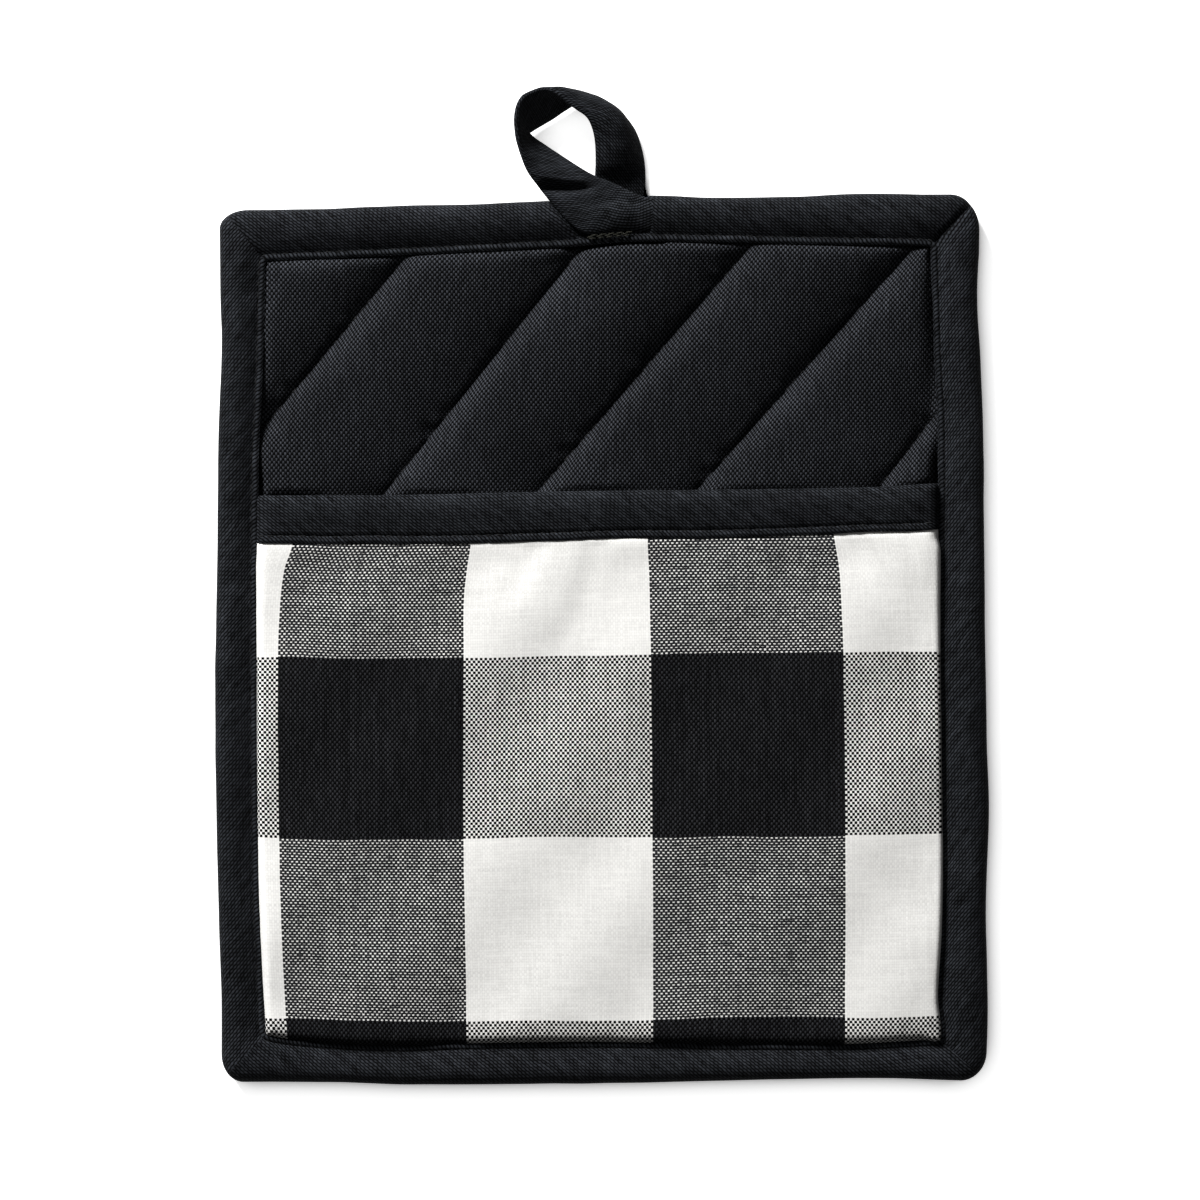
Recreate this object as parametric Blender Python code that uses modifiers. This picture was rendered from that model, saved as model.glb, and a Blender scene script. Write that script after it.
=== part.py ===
# A pot holder lying on its back: a quilted pad, a sheet of check cloth over its lower part
# as a hand pocket, a strip folded over the pocket's upper edge, a strip folded round all
# four sides with mitred corners, and a hanging loop.
# X is the width, Y runs up towards the loop, Z is the thickness, and the back lies on z = 0.
# Every length below is in millimetres. MM turns it into metres where a mesh is made.

import bisect
import math

import bmesh
import bpy
from mathutils import Vector, geometry

MM = 0.001
NAME = "pot_holder"

# Cloth and clearances
GAP = 0.3
MOUTH_GAP = 0.4
EDGE_CLOTH = 1.2
PANEL_CLOTH = 1.0
MOUTH_CLOTH = 1.0
LOOP_CLOTH = 1.8

# Edge binding: height of the middle of its cloth at each fold and row of stitches
LEG_LOW = 0.6
LEG_EDGE = 7.45
LEG_STITCHED = 7.3
LEG_PUFFED = 7.75
FOLD_MIDDLE = 4.2
STITCH_INSET = 1.9

# Pad: heights of its faces
PAD_INSET = 3.0
PAD_FOOT = -132.0
PAD_HEAD = 104.0
PAD_MARGIN_TOP = 6.4
PAD_MARGIN_LOW = 1.5
PAD_CROWN = 8.3
PAD_CROWN_AT_MOUTH = 6.4
PAD_SEAM = 3.4
BACK_GROOVE = 1.9
BACK_GROOVE_HALF = 5.5
RISE = 4.0
CHANNEL_ROUNDNESS = 2.2
CHANNEL_STEEPNESS = 0.62
MOUTH_PRESS = 12.0
LEG_BOTTOM_RAISED_FROM = 1.8
LEG_TOP_FROM = 6.35

# Pocket: underside of its cloth, and how far it reaches under the edge binding
POCKET_UNDERSIDE = 7.9
POCKET_MARGIN = 5.45
POCKET_MARGIN_AT_MOUTH = 4.0
POCKET_SAG = 1.5
POCKET_CLEAR = 0.5
POCKET_RISE = 5.0
SIDE_CLEAR = 0.4
POCKET_UNDER_EDGE = 7.0
POCKET_UNDER_FOOT = 5.0
MOUTH_DEPTH = 13.0
MOUTH_BACK_DEPTH = 12.0

# Where the loop's two ends are sewn to the top edge
TUCK_DROP = 2.2
TUCK_RIGHT = 11.7
TAIL_LIFT = 2.1
TAIL_LEFT = -2.4
TAIL_RIGHT = 11.8
TAIL_END = 95.0

# Spacing of the points that the faces hang on
EDGE_CLEAR = 0.7
EDGE_STEP = 12.0
EDGE_STEP_AT_LOOP = 2.5
NEAR_LOOP = (-20.3, 11.9, 13.2)
CORNER_STEPS = 5
UNDER_EDGE = (EDGE_CLEAR, 2.2, 4.6, 8.5)
SEAM_OFFSETS = (0.0, 2.2, 5.5, 10.5, 16.0)
UNDER_POCKET = (0.0, 5.5, 10.5)
CREASED = 8.0
PAD_STEP = 7.5
MOUTH_ABOVE = -0.8
MOUTH_LINES = (-8.0, -4.0, -0.9, 13.4, 16.2)
MOUTH_STEP = 8.2
MOUTH_COUNT = 12
POCKET_COLUMNS = 24
POCKET_ROWS = 12

# Outer edge of each side. Columns: place along the side, position of the edge.
OUTER = {
    "left": ((-122, -100.8), (-105, -100.8), (-84, -101.6), (-57, -102.1), (-30, -102.4),
             (8, -102.0), (38, -101.6), (62, -100.8), (80, -101.1), (92, -101.3)),
    "right": ((-126, 101.7), (-112, 102.1), (-85, 101.6), (-60, 102.4), (-42, 101.9),
              (0, 101.3), (38, 100.8), (60, 100.0), (77, 99.2), (88, 99.7)),
    "top": ((-92, 99.0), (-73, 99.2), (-55, 99.9), (-35, 100.6), (-15, 101.3),
            (15, 102.7), (28, 102.2), (50, 102.6), (68, 103.3), (88, 103.1)),
    "bottom": ((-91, -131.9), (-70, -132.0), (-52, -132.7), (-20, -132.4), (10, -132.1),
               (30, -131.6), (52, -131.0), (75, -130.8), (92, -131.3)),
}

# Inner edge of the binding on each side, in the same columns
INNER = {
    "left": ((-120, -89.4), (-80, -91.2), (-20, -91.8), (28, -91.5), (60, -90.2), (87, -89.6)),
    "right": ((-118, 89.7), (-110, 88.8), (-92, 89.7), (-71, 90.1), (-42, 89.7),
              (-12, 89.4), (43, 89.4), (61, 88.4), (90, 87.5)),
    "top": ((-89, 86.0), (-53, 87.5), (-7, 89.9), (10, 91.2), (42, 90.7), (88, 89.9)),
    "bottom": ((-89, -120.0), (-83, -121.0), (-57, -122.7), (-35, -122.1), (-7, -121.7),
               (13, -121.9), (63, -122.3), (90, -121.0)),
}

# Corner name, its two sides going round from the left side's foot, radii along X and Y,
# and how far the mitre fold sinks (or, below zero, stands up).
CORNERS = (
    ("left", "top", 7.4, 4.6, 0.3),
    ("top", "right", 7.4, 9.5, 0.8),
    ("right", "bottom", 6.6, 7.6, 0.3),
    ("bottom", "left", 5.6, 7.2, -0.3),
)
INNER_RADIUS = 1.0

# Upper edge of the pocket. Columns: x, y.
MOUTH = ((-92, 23.5), (-57, 23.6), (-11, 24.6), (26, 25.0), (71, 25.7), (92, 27.0))

# Quilting seams, all the way across the pad. Columns: x where the seam meets the height
# SEAM_LOW, x where it meets SEAM_HIGH. Under the pocket they all lean by SEAM_RUN_BELOW.
SEAM_LOW = 24.0
SEAM_HIGH = 90.0
SEAM_RUN_BELOW = 0.79
SEAMS = (
    (-150.0, -98.0), (-105.0, -49.8), (-58.1, -5.0), (-17.7, 39.6), (24.3, 83.4),
    (72.5, 123.5), (117.0, 170.0), (162.0, 215.0), (207.0, 260.0),
)

# Soft folds in the pocket below its binding. Columns: x and y of the upper end, x and y of
# the lower end, half width, depth.
POCKET_FOLDS = (
    (-16.0, 12.0, -26.0, -6.0, 4.0, 0.7),
    (-1.5, 12.0, -6.0, -8.0, 4.5, 0.8),
    (-6.0, -8.0, -13.0, -18.0, 5.0, 0.5),
    (-60.0, 12.0, -66.0, -2.0, 4.5, 0.4),
    (52.0, 14.0, 47.0, 0.0, 5.0, 0.4),
    (-40.0, -122.0, -37.0, -106.0, 5.0, 0.5),
    (28.0, -122.0, 33.0, -108.0, 5.0, 0.5),
)

# Hanging loop, one row for each turn of the strip from its sewn front end to its sewn back
# end. Columns: x, y, z of the edge that stands high, x, y, z of the other edge, and how
# far the middle of the strip bellies out.
LOOP = (
    (11.4, 91.6, 7.5, 11.4, 102.9, 7.5, 0.0),
    (2.7, 90.8, 7.5, 8.0, 104.3, 7.5, 0.0),
    (-4.8, 92.1, 7.5, 4.8, 105.8, 7.5, 0.0),
    (-8.2, 95.0, 7.5, 1.6, 107.0, 7.5, 0.0),
    (-11.1, 98.3, 7.6, -0.6, 107.8, 7.4, 0.0),
    (-14.1, 101.8, 7.9, -3.2, 109.0, 7.0, 0.0),
    (-17.0, 105.4, 8.8, -6.6, 111.1, 6.0, 0.0),
    (-19.8, 109.3, 10.0, -10.6, 113.7, 4.8, 0.2),
    (-21.5, 113.9, 11.1, -14.9, 116.5, 3.3, 0.3),
    (-22.5, 118.6, 11.8, -18.2, 118.7, 1.8, 0.3),
    (-22.8, 122.6, 12.0, -19.6, 120.1, 1.0, 0.2),
    (-22.4, 126.3, 11.8, -18.6, 121.0, 0.8, 0.3),
    (-21.1, 128.9, 11.3, -16.4, 122.3, 0.8, 0.5),
    (-18.8, 130.2, 11.1, -13.3, 124.1, 0.8, 0.8),
    (-16.2, 130.9, 11.5, -9.8, 126.5, 0.8, 1.1),
    (-13.8, 130.6, 11.7, -6.2, 128.6, 0.8, 1.3),
    (-11.7, 129.3, 11.7, -3.2, 129.3, 0.8, 1.4),
    (-9.5, 127.4, 11.1, 0.0, 128.4, 0.9, 1.4),
    (-6.9, 125.7, 10.5, 3.0, 126.6, 0.9, 1.4),
    (-4.0, 123.6, 9.9, 6.2, 124.0, 0.9, 1.4),
    (-2.5, 120.6, 8.6, 8.8, 120.9, 0.9, 1.3),
    (-1.8, 116.9, 7.0, 10.4, 116.9, 0.9, 1.1),
    (-1.7, 112.4, 5.0, 11.3, 112.9, 0.9, 0.8),
    (-1.9, 108.3, 2.8, 11.6, 108.8, 0.9, 0.3),
    (-2.1, 104.5, 1.2, 11.4, 104.6, 0.9, 0.0),
    (-2.1, 100.2, 0.9, 11.2, 100.4, 0.9, 0.0),
    (-2.1, 96.5, 0.9, 11.0, 96.7, 0.9, 0.0),
)
LOOP_STEPS = 2
LOOP_ACROSS = 4


def smooth(start, end, value):
    """0 before start, 1 after end, and an even curve between them."""
    t = min(max((value - start) / (end - start), 0.0), 1.0)
    return t * t * (3 - 2 * t)


def blend(a, b, t):
    return a + (b - a) * t


def hermite(rows, where, column):
    """The value in a column of a table at a place in its first column, on one smooth curve."""
    places = [row[0] for row in rows]
    where = min(max(where, places[0]), places[-1])
    i = min(max(bisect.bisect_right(places, where) - 1, 0), len(rows) - 2)

    def slope(k):
        a, b = rows[max(k - 1, 0)], rows[min(k + 1, len(rows) - 1)]
        return (b[column] - a[column]) / (b[0] - a[0])

    span = places[i + 1] - places[i]
    t = (where - places[i]) / span
    low, high = rows[i][column], rows[i + 1][column]
    return (
        low * (2 * t**3 - 3 * t**2 + 1)
        + high * (3 * t**2 - 2 * t**3)
        + slope(i) * span * (t**3 - 2 * t**2 + t)
        + slope(i + 1) * span * (t**3 - t**2)
    )


def side_at(edges, side, where):
    return hermite(edges[side], where, 1)


def corner_at(edges, first, second):
    """Where two neighbouring sides would cross if the corner weren't round."""
    upright, level = (first, second) if first in ("left", "right") else (second, first)
    x = edges[upright][-1 if level == "top" else 0][1]
    for _ in range(4):
        y = side_at(edges, level, x)
        x = side_at(edges, upright, y)
    return x, y


def side_stops(side):
    """Places along a side where both its edges have a point: close together at the loop."""
    number = next(i for i, corner in enumerate(CORNERS) if corner[0] == side)
    before, after = CORNERS[number - 1], CORNERS[number]
    axis = 0 if side in ("top", "bottom") else 1
    start = corner_at(INNER, before[0], before[1])[axis]
    end = corner_at(INNER, after[0], after[1])[axis]
    clear = math.copysign(2 * INNER_RADIUS, end - start)
    runs = [(start + clear, end - clear, EDGE_STEP)]
    if side == "top":
        near, far, beyond = NEAR_LOOP
        runs = [
            (start + clear, near, EDGE_STEP),
            (near, far, EDGE_STEP_AT_LOOP),
            (beyond, end - clear, EDGE_STEP),
        ]
    stops = []
    for low, high, step in runs:
        count = max(round(abs(high - low) / step), 1)
        stops += [blend(low, high, i / count) for i in range(count + 1)]
    return sorted({round(s, 4) for s in stops}, reverse=end < start)


def outline(edges, round_corners):
    """Points round the four sides, from the left side's foot upwards and clockwise. Both
    outlines get the same number of points, so that they pair up across the binding."""
    points = []
    turn = {"left": (0, 1), "top": (1, 0), "right": (0, -1), "bottom": (-1, 0)}
    for first, second, wide, high, _ in CORNERS:
        rx, ry = (wide, high) if round_corners else (INNER_RADIUS, INNER_RADIUS)
        level = first in ("top", "bottom")
        for place in side_stops(first):
            across = side_at(edges, first, place)
            points.append((place, across) if level else (across, place))
        end = corner_at(edges, first, second)
        leave, enter = turn[first], turn[second]
        middle = (
            end[0] - leave[0] * rx + enter[0] * rx,
            end[1] - leave[1] * ry + enter[1] * ry,
        )
        for step in range(CORNER_STEPS + 1):
            angle = math.pi / 2 * step / CORNER_STEPS
            points.append(
                (
                    middle[0] + rx * (leave[0] * math.sin(angle) - enter[0] * math.cos(angle)),
                    middle[1] + ry * (leave[1] * math.sin(angle) - enter[1] * math.cos(angle)),
                )
            )
    return points


def frame_depth(x, y):
    """How far a place lies inside the inner edge of the edge binding."""
    return min(
        x - side_at(INNER, "left", y),
        side_at(INNER, "right", y) - x,
        y - side_at(INNER, "bottom", x),
        side_at(INNER, "top", x) - y,
    )


def below_mouth(x, y):
    """How far a place lies below the pocket's upper edge."""
    return hermite(MOUTH, x, 1) - y


def seam_x(seam, y):
    """Where a quilting seam crosses a height, and how far it leans for each step up."""
    low, high = seam
    run = (high - low) / (SEAM_HIGH - SEAM_LOW) if y > SEAM_LOW else SEAM_RUN_BELOW
    return low + (y - SEAM_LOW) * run, run


def seam_span(x, y):
    """Distances across the quilting to the seams on the left and the right of a place."""
    left = right = 1e9
    for seam in SEAMS:
        line, run = seam_x(seam, y)
        across = (x - line) / math.hypot(1, run)
        if across >= 0:
            left = min(left, across)
        else:
            right = min(right, -across)
    return left, right


def channel(x, y, steep):
    """0 on a quilting seam and 1 along the middle of a channel."""
    left, right = seam_span(x, y)
    e = 1 - abs(2 * left / (left + right) - 1)
    return (1 - (1 - e) ** CHANNEL_ROUNDNESS) ** steep


def tuck(x, y, room=0.0):
    """1 where the loop's front end lies over the top binding, and 0 beside it. Its left
    side is the slanting edge of the strip, and its right side is square."""
    slant = blend(-13.9, -6.0, min(max((101.8 - y) / 9.3, -0.6), 1.15)) - room
    right = 1 - smooth(0.0, 1.2, x - TUCK_RIGHT - room)
    return smooth(-5.4, -2.2, x - slant) * right * smooth(82.0, 87.0, y)


def mitre_dip(x, y):
    """How far the folds at the corners press the pad down."""
    dip = 0.0
    for first, second, _, _, sink in CORNERS:
        ox, oy = corner_at(OUTER, first, second)
        ix, iy = corner_at(INNER, first, second)
        length = math.hypot(ox - ix, oy - iy)
        ux, uy = (ox - ix) / length, (oy - iy) / length
        along = min(max((x - ix) * ux + (y - iy) * uy, 0.0), length)
        away = math.dist((x, y), (ix + along * ux, iy + along * uy))
        dip = max(dip, sink * (1 - smooth(3.0, 7.0, away)))
    return dip


def tail(x, y, room=0.0):
    """1 where the loop's back end lies under the top binding, and 0 beside it."""
    left = smooth(TAIL_LEFT - 3.5 - room, TAIL_LEFT - room, x)
    right = 1 - smooth(TAIL_RIGHT + room, TAIL_RIGHT + 3.5 + room, x)
    return left * right * smooth(TAIL_END - 3.5 - room, TAIL_END - room, y)


def fold_dip(x, y):
    """Depth of the pocket's soft folds at a place."""
    dip = 0.0
    for x0, y0, x1, y1, half, depth in POCKET_FOLDS:
        length = math.hypot(x1 - x0, y1 - y0)
        ux, uy = (x1 - x0) / length, (y1 - y0) / length
        along = ((x - x0) * ux + (y - y0) * uy) / length
        across = abs((x - x0) * uy - (y - y0) * ux)
        fade = smooth(-0.3, 0.1, along) * (1 - smooth(0.6, 1.2, along))
        dip += depth * fade * (1 - smooth(0.0, half, across))
    return dip


def pocket_underside(x, y):
    """Height of the underside of the pocket's cloth."""
    v = below_mouth(x, y)
    free = smooth(MOUTH_DEPTH, MOUTH_DEPTH + 8, v)
    sag = blend(0.35, POCKET_SAG, free) * (1 - channel(x, y, 1.0))
    inside = POCKET_UNDERSIDE - sag - fold_dip(x, y) * smooth(MOUTH_DEPTH, MOUTH_DEPTH + 2, v)
    margin = blend(
        POCKET_MARGIN_AT_MOUTH, POCKET_MARGIN, smooth(MOUTH_DEPTH + 1, MOUTH_DEPTH + 6, v)
    )
    depth = max(frame_depth(x, y) - EDGE_CLEAR, 0.0)
    return blend(margin - mitre_dip(x, y), inside, 1 - math.exp(-depth / POCKET_RISE))


def pad_top(x, y):
    """Height of the pad's upper face: quilted where it is free, held down by the edge
    binding round its margin, and by the folded strip and the sheet of the pocket."""
    v = below_mouth(x, y)
    depth = max(frame_depth(x, y) - EDGE_CLEAR, 0.0)
    crown = blend(PAD_CROWN, PAD_CROWN_AT_MOUTH, smooth(-9, 0, v))
    quilt = blend(PAD_SEAM, crown, channel(x, y, CHANNEL_STEEPNESS))
    free = PAD_MARGIN_TOP - (TUCK_DROP + 0.1) * tuck(x, y, 4.0) - mitre_dip(x, y)
    steep = SIDE_CLEAR * smooth(0, 1.5, depth) * (1 - smooth(10, 24, depth))
    strip = GAP + MOUTH_GAP + MOUTH_CLOTH + steep
    layers = blend(strip, POCKET_CLEAR + steep, smooth(MOUTH_DEPTH + 0.5, MOUTH_DEPTH + 3, v))
    under = pocket_underside(x, y) - layers
    if v < MOUTH_ABOVE:
        margin = blend(free, POCKET_MARGIN_AT_MOUTH - strip, smooth(-MOUTH_PRESS, MOUTH_ABOVE, v))
        return blend(margin, quilt, 1 - math.exp(-depth / RISE))
    if depth == 0:
        return under
    return min(blend(free, quilt, 1 - math.exp(-depth / RISE)), under)


def pad_low(x, y):
    depth = frame_depth(x, y)
    inside = smooth(EDGE_CLEAR, 4.6, depth)
    away = min(seam_span(x, y)) / BACK_GROOVE_HALF
    groove = BACK_GROOVE * max(1 - away, 0.0)
    return blend(PAD_MARGIN_LOW + TAIL_LIFT * tail(x, y, 3.0), groove, inside)


def new_object(name, mesh, material, collection):
    thing = bpy.data.objects.new(name, mesh)
    thing.data.materials.append(material)
    collection.objects.link(thing)
    return thing


def cloth(name, colour, roughness):
    """A plain woven cotton. The colour is sRGB, as seen in daylight."""
    material = bpy.data.materials.new(name)
    material.use_nodes = True
    surface = material.node_tree.nodes["Principled BSDF"]
    linear = [c / 12.92 if c <= 0.04045 else ((c + 0.055) / 1.055) ** 2.4 for c in colour]
    surface.inputs["Base Color"].default_value = (*linear, 1)
    surface.inputs["Roughness"].default_value = roughness
    surface.inputs["Metallic"].default_value = 0.0
    return material


def sheet(name, across, along, place, thickness, material, collection, ring=False):
    """A sheet of cloth: a grid of across by along cells, each point put where place(column,
    row) says, then given its thickness. A ring's last column is joined to its first."""
    bm = bmesh.new()
    bmesh.ops.create_grid(bm, x_segments=across, y_segments=along, size=1)
    for point in bm.verts:
        column = round((point.co.x + 1) / 2 * across)
        row = round((point.co.y + 1) / 2 * along)
        point.co = Vector(place(column, row)) * MM
    if ring:
        bmesh.ops.remove_doubles(bm, verts=bm.verts, dist=1e-7)
    bmesh.ops.recalc_face_normals(bm, faces=bm.faces)
    mesh = bpy.data.meshes.new(name)
    bm.to_mesh(mesh)
    bm.free()
    mesh.shade_smooth()
    thing = new_object(name, mesh, material, collection)
    solid = thing.modifiers.new("cloth thickness", "SOLIDIFY")
    solid.thickness = thickness * MM
    solid.offset = 0
    return thing


def make_edge_binding(material, collection):
    outer = outline(OUTER, True)
    inner = outline(INNER, False)
    sides = []
    for first, _, _, _, sink in CORNERS:
        sides += [0.0] * len(side_stops(first))
        sides += [
            sink * math.sin(math.pi * step / CORNER_STEPS) ** 4
            for step in range(CORNER_STEPS + 1)
        ]

    # Columns: share of the width, length added to it, height. Front leg, fold, back leg.
    section = (
        (1.0, 0.0, LEG_EDGE),
        (1.0, -STITCH_INSET, LEG_STITCHED),
        (1.0, -STITCH_INSET - 1.8, LEG_PUFFED),
        (0.45, 0.0, LEG_PUFFED + 0.1),
        (0.0, 2.4, LEG_PUFFED - 0.3),
        (0.0, 0.95, LEG_PUFFED - 1.4),
        (0.0, 0.6, FOLD_MIDDLE),
        (0.0, 0.95, LEG_LOW + 1.2),
        (0.0, 2.4, LEG_LOW),
        (1.0, -5.0, LEG_LOW),
        (1.0, 0.0, LEG_LOW),
    )

    def place(column, row):
        column %= len(outer)
        share, more, z = section[row]
        (ox, oy), (ix, iy) = outer[column], inner[column]
        width = math.hypot(ix - ox, iy - oy)
        reach = (share * width + more) / width
        x, y = blend(ox, ix, reach), blend(oy, iy, reach)
        front = (z - LEG_BOTTOM_RAISED_FROM) / (LEG_TOP_FROM - LEG_BOTTOM_RAISED_FROM)
        front = min(max(front, 0.0), 1.0)
        z -= front * (TUCK_DROP * tuck(x, y) + sides[column])
        z += (1 - front) * TAIL_LIFT * tail(x, y)
        return x, y, z

    return sheet(
        "edge_binding", len(outer), len(section) - 1, place, EDGE_CLOTH, material, collection, True
    )


def pad_plan():
    """Points of the pad seen from above, and the seam lines that its faces must follow."""
    outer, inner = outline(OUTER, True), outline(INNER, False)
    rings = []
    for (ox, oy), (ix, iy) in zip(outer, inner):
        width = math.hypot(ix - ox, iy - oy)
        at = [PAD_INSET, width - 4] + [width + depth for depth in UNDER_EDGE[:3]]
        rings.append([(blend(ox, ix, s / width), blend(oy, iy, s / width)) for s in at])
    border = [ring[0] for ring in rings]
    points = list(border)
    lines = []
    for i in range(1, len(rings[0])):
        first = len(points)
        for ring in rings:
            if len(points) == first or math.dist(points[-1], ring[i]) > 1.5:
                points.append(ring[i])
                if len(points) > first + 1:
                    lines.append((len(points) - 2, len(points) - 1))
        lines.append((len(points) - 1, first))

    shifts = sorted({-o for o in SEAM_OFFSETS} | set(SEAM_OFFSETS))
    for number, seam in enumerate(SEAMS):
        for shift in shifts:
            last = None
            y = PAD_FOOT + (number % 2) * 0.4 * PAD_STEP
            while y < PAD_HEAD:
                line, run = seam_x(seam, y)
                x = line + shift * math.hypot(1, run)
                nearest = min(seam_span(x, y)) > abs(shift) - 0.2
                nearest = nearest and (y > SEAM_LOW - 5 or abs(shift) in UNDER_POCKET)
                if nearest and frame_depth(x, y) > (1.2 if shift else -5):
                    points.append((x, y))
                    if last is not None and abs(shift) < CREASED:
                        lines.append((last, len(points) - 1))
                    last = len(points) - 1
                else:
                    last = None
                y += PAD_STEP if below_mouth(x, y) > -12 else 0.75 * PAD_STEP
    for v in MOUTH_LINES:
        for i in range(-MOUTH_COUNT, MOUTH_COUNT + 1):
            x = i * MOUTH_STEP
            points.append((x, hermite(MOUTH, x, 1) - v))
            if i > -MOUTH_COUNT and v > -1:
                lines.append((len(points) - 2, len(points) - 1))
    return points, lines, list(range(len(border)))


def make_pad(material, collection):
    points, lines, border = pad_plan()
    kept, number = [], {}
    for i, point in enumerate(points):
        near = next((k for k in reversed(kept) if math.dist(points[k], point) < 0.7), None)
        number[i] = len(kept) if near is None else kept.index(near)
        if near is None:
            kept.append(i)
    lines = [(number[a], number[b]) for a, b in lines if number[a] != number[b]]
    plan = [Vector(points[i]) for i in kept]
    corners, _, faces, *_ = geometry.delaunay_2d_cdt(plan, lines, [border], 1, 1e-4)

    bm = bmesh.new()
    low = [bm.verts.new((p.x, p.y, 0)) for p in corners]
    for face in faces:
        bm.faces.new([low[i] for i in face])
    bmesh.ops.delete(bm, geom=[v for v in low if not v.link_faces], context="VERTS")
    raised = bmesh.ops.extrude_face_region(bm, geom=bm.faces[:])["geom"]
    top = {item for item in raised if isinstance(item, bmesh.types.BMVert)}
    for point in bm.verts:
        x, y = point.co.x, point.co.y
        height = pad_top(x, y) if point in top else pad_low(x, y)
        point.co = Vector((x, y, height)) * MM
    bmesh.ops.recalc_face_normals(bm, faces=bm.faces)
    mesh = bpy.data.meshes.new("quilted_pad")
    bm.to_mesh(mesh)
    bm.free()
    mesh.shade_smooth()
    return new_object("quilted_pad", mesh, material, collection)


def width_stops(steps):
    """Places across the pocket, as (share of the width, distance from the inner edge): a
    few close to each side's binding, and even ones between them."""
    ends = (-POCKET_UNDER_EDGE, *UNDER_EDGE)
    middle = [(i / steps, 0.0) for i in range(1, steps)]
    return [(0.0, d) for d in ends] + middle + [(1.0, -d) for d in reversed(ends)]


def pocket_x(stop, y):
    share, inset = stop
    left, right = side_at(INNER, "left", y), side_at(INNER, "right", y)
    if inset:
        return blend(left, right, share) + inset
    return blend(left + UNDER_EDGE[-1], right - UNDER_EDGE[-1], share)


def make_pocket_panel(material, collection):
    columns = width_stops(POCKET_COLUMNS)
    # Distances below the mouth, then distances above the bottom's inner edge
    upper = (1.8, 6.5, 10.8, 13.4, 16.2, 20.0)
    lower = (14.0, *reversed(UNDER_EDGE), -POCKET_UNDER_FOOT)
    rows = len(upper) + POCKET_ROWS - 1 + len(lower)

    def place(column, row):
        middle = (row - len(upper) + 1) / POCKET_ROWS
        x = y = 0.0
        for _ in range(3):
            x = pocket_x(columns[column], y)
            mouth, foot = hermite(MOUTH, x, 1), side_at(INNER, "bottom", x)
            if row < len(upper):
                y = mouth - upper[row]
            elif row >= rows - len(lower):
                y = foot + lower[row - rows + len(lower)]
            else:
                y = blend(mouth - upper[-1], foot + lower[0], middle)
        return x, y, pocket_underside(x, y) + PANEL_CLOTH / 2

    return sheet(
        "pocket_panel", len(columns) - 1, rows - 1, place, PANEL_CLOTH, material, collection
    )


def make_pocket_binding(material, collection):
    columns = width_stops(POCKET_COLUMNS)
    half = MOUTH_CLOTH / 2
    front = PANEL_CLOTH + MOUTH_GAP + half
    back = -MOUTH_GAP - half
    # Columns: depth below the pocket's upper edge, share of the way from the back leg
    # to the front leg, height added.
    section = (
        (MOUTH_DEPTH, 1.0, -0.1),
        (MOUTH_DEPTH - 2.2, 1.0, 0.0),
        (MOUTH_DEPTH / 2, 1.0, 0.2),
        (1.6, 1.0, 0.0),
        (0.55, 0.72, 0.0),
        (0.55, 0.28, 0.0),
        (1.6, 0.0, 0.0),
        (MOUTH_DEPTH / 2, 0.0, 0.0),
        (MOUTH_BACK_DEPTH, 0.0, 0.0),
    )

    def place(column, row):
        depth, share, more = section[row]
        x = y = 0.0
        for _ in range(3):
            x = pocket_x(columns[column], y)
            y = hermite(MOUTH, x, 1) - depth
        free = smooth(EDGE_CLEAR, 6.0, frame_depth(x, y))
        return x, y, pocket_underside(x, y) + blend(back, front, share) + more * free

    return sheet(
        "pocket_binding",
        len(columns) - 1,
        len(section) - 1,
        place,
        MOUTH_CLOTH,
        material,
        collection,
    )


def make_hang_loop(material, collection):
    rows = [(i, *row) for i, row in enumerate(LOOP)]
    along = (len(LOOP) - 1) * LOOP_STEPS

    def edge(station, first):
        where = station / LOOP_STEPS
        return Vector([hermite(rows, where, first + k) for k in range(3)])

    def place(station, step):
        high, low = edge(station, 1), edge(station, 4)
        before, after = max(station - 1, 0), min(station + 1, along)
        travel = (edge(after, 1) + edge(after, 4)) - (edge(before, 1) + edge(before, 4))
        out = (low - high).cross(travel).normalized()
        share = step / LOOP_ACROSS
        belly = hermite(rows, station / LOOP_STEPS, 7) * 4 * share * (1 - share)
        return high.lerp(low, share) - out * belly

    return sheet("hang_loop", along, LOOP_ACROSS, place, LOOP_CLOTH, material, collection)


def main():
    for thing in list(bpy.data.objects):
        bpy.data.objects.remove(thing)
    collection = bpy.data.collections.new(NAME)
    bpy.context.scene.collection.children.link(collection)
    black = cloth("black cotton", (0.15, 0.15, 0.17), 0.9)
    strip = cloth("black cotton strip", (0.16, 0.16, 0.18), 0.9)
    check = cloth("black and white check cotton", (0.55, 0.55, 0.56), 0.9)
    make_pad(black, collection)
    make_pocket_panel(check, collection)
    make_pocket_binding(strip, collection)
    make_edge_binding(strip, collection)
    make_hang_loop(strip, collection)


main()
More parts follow.
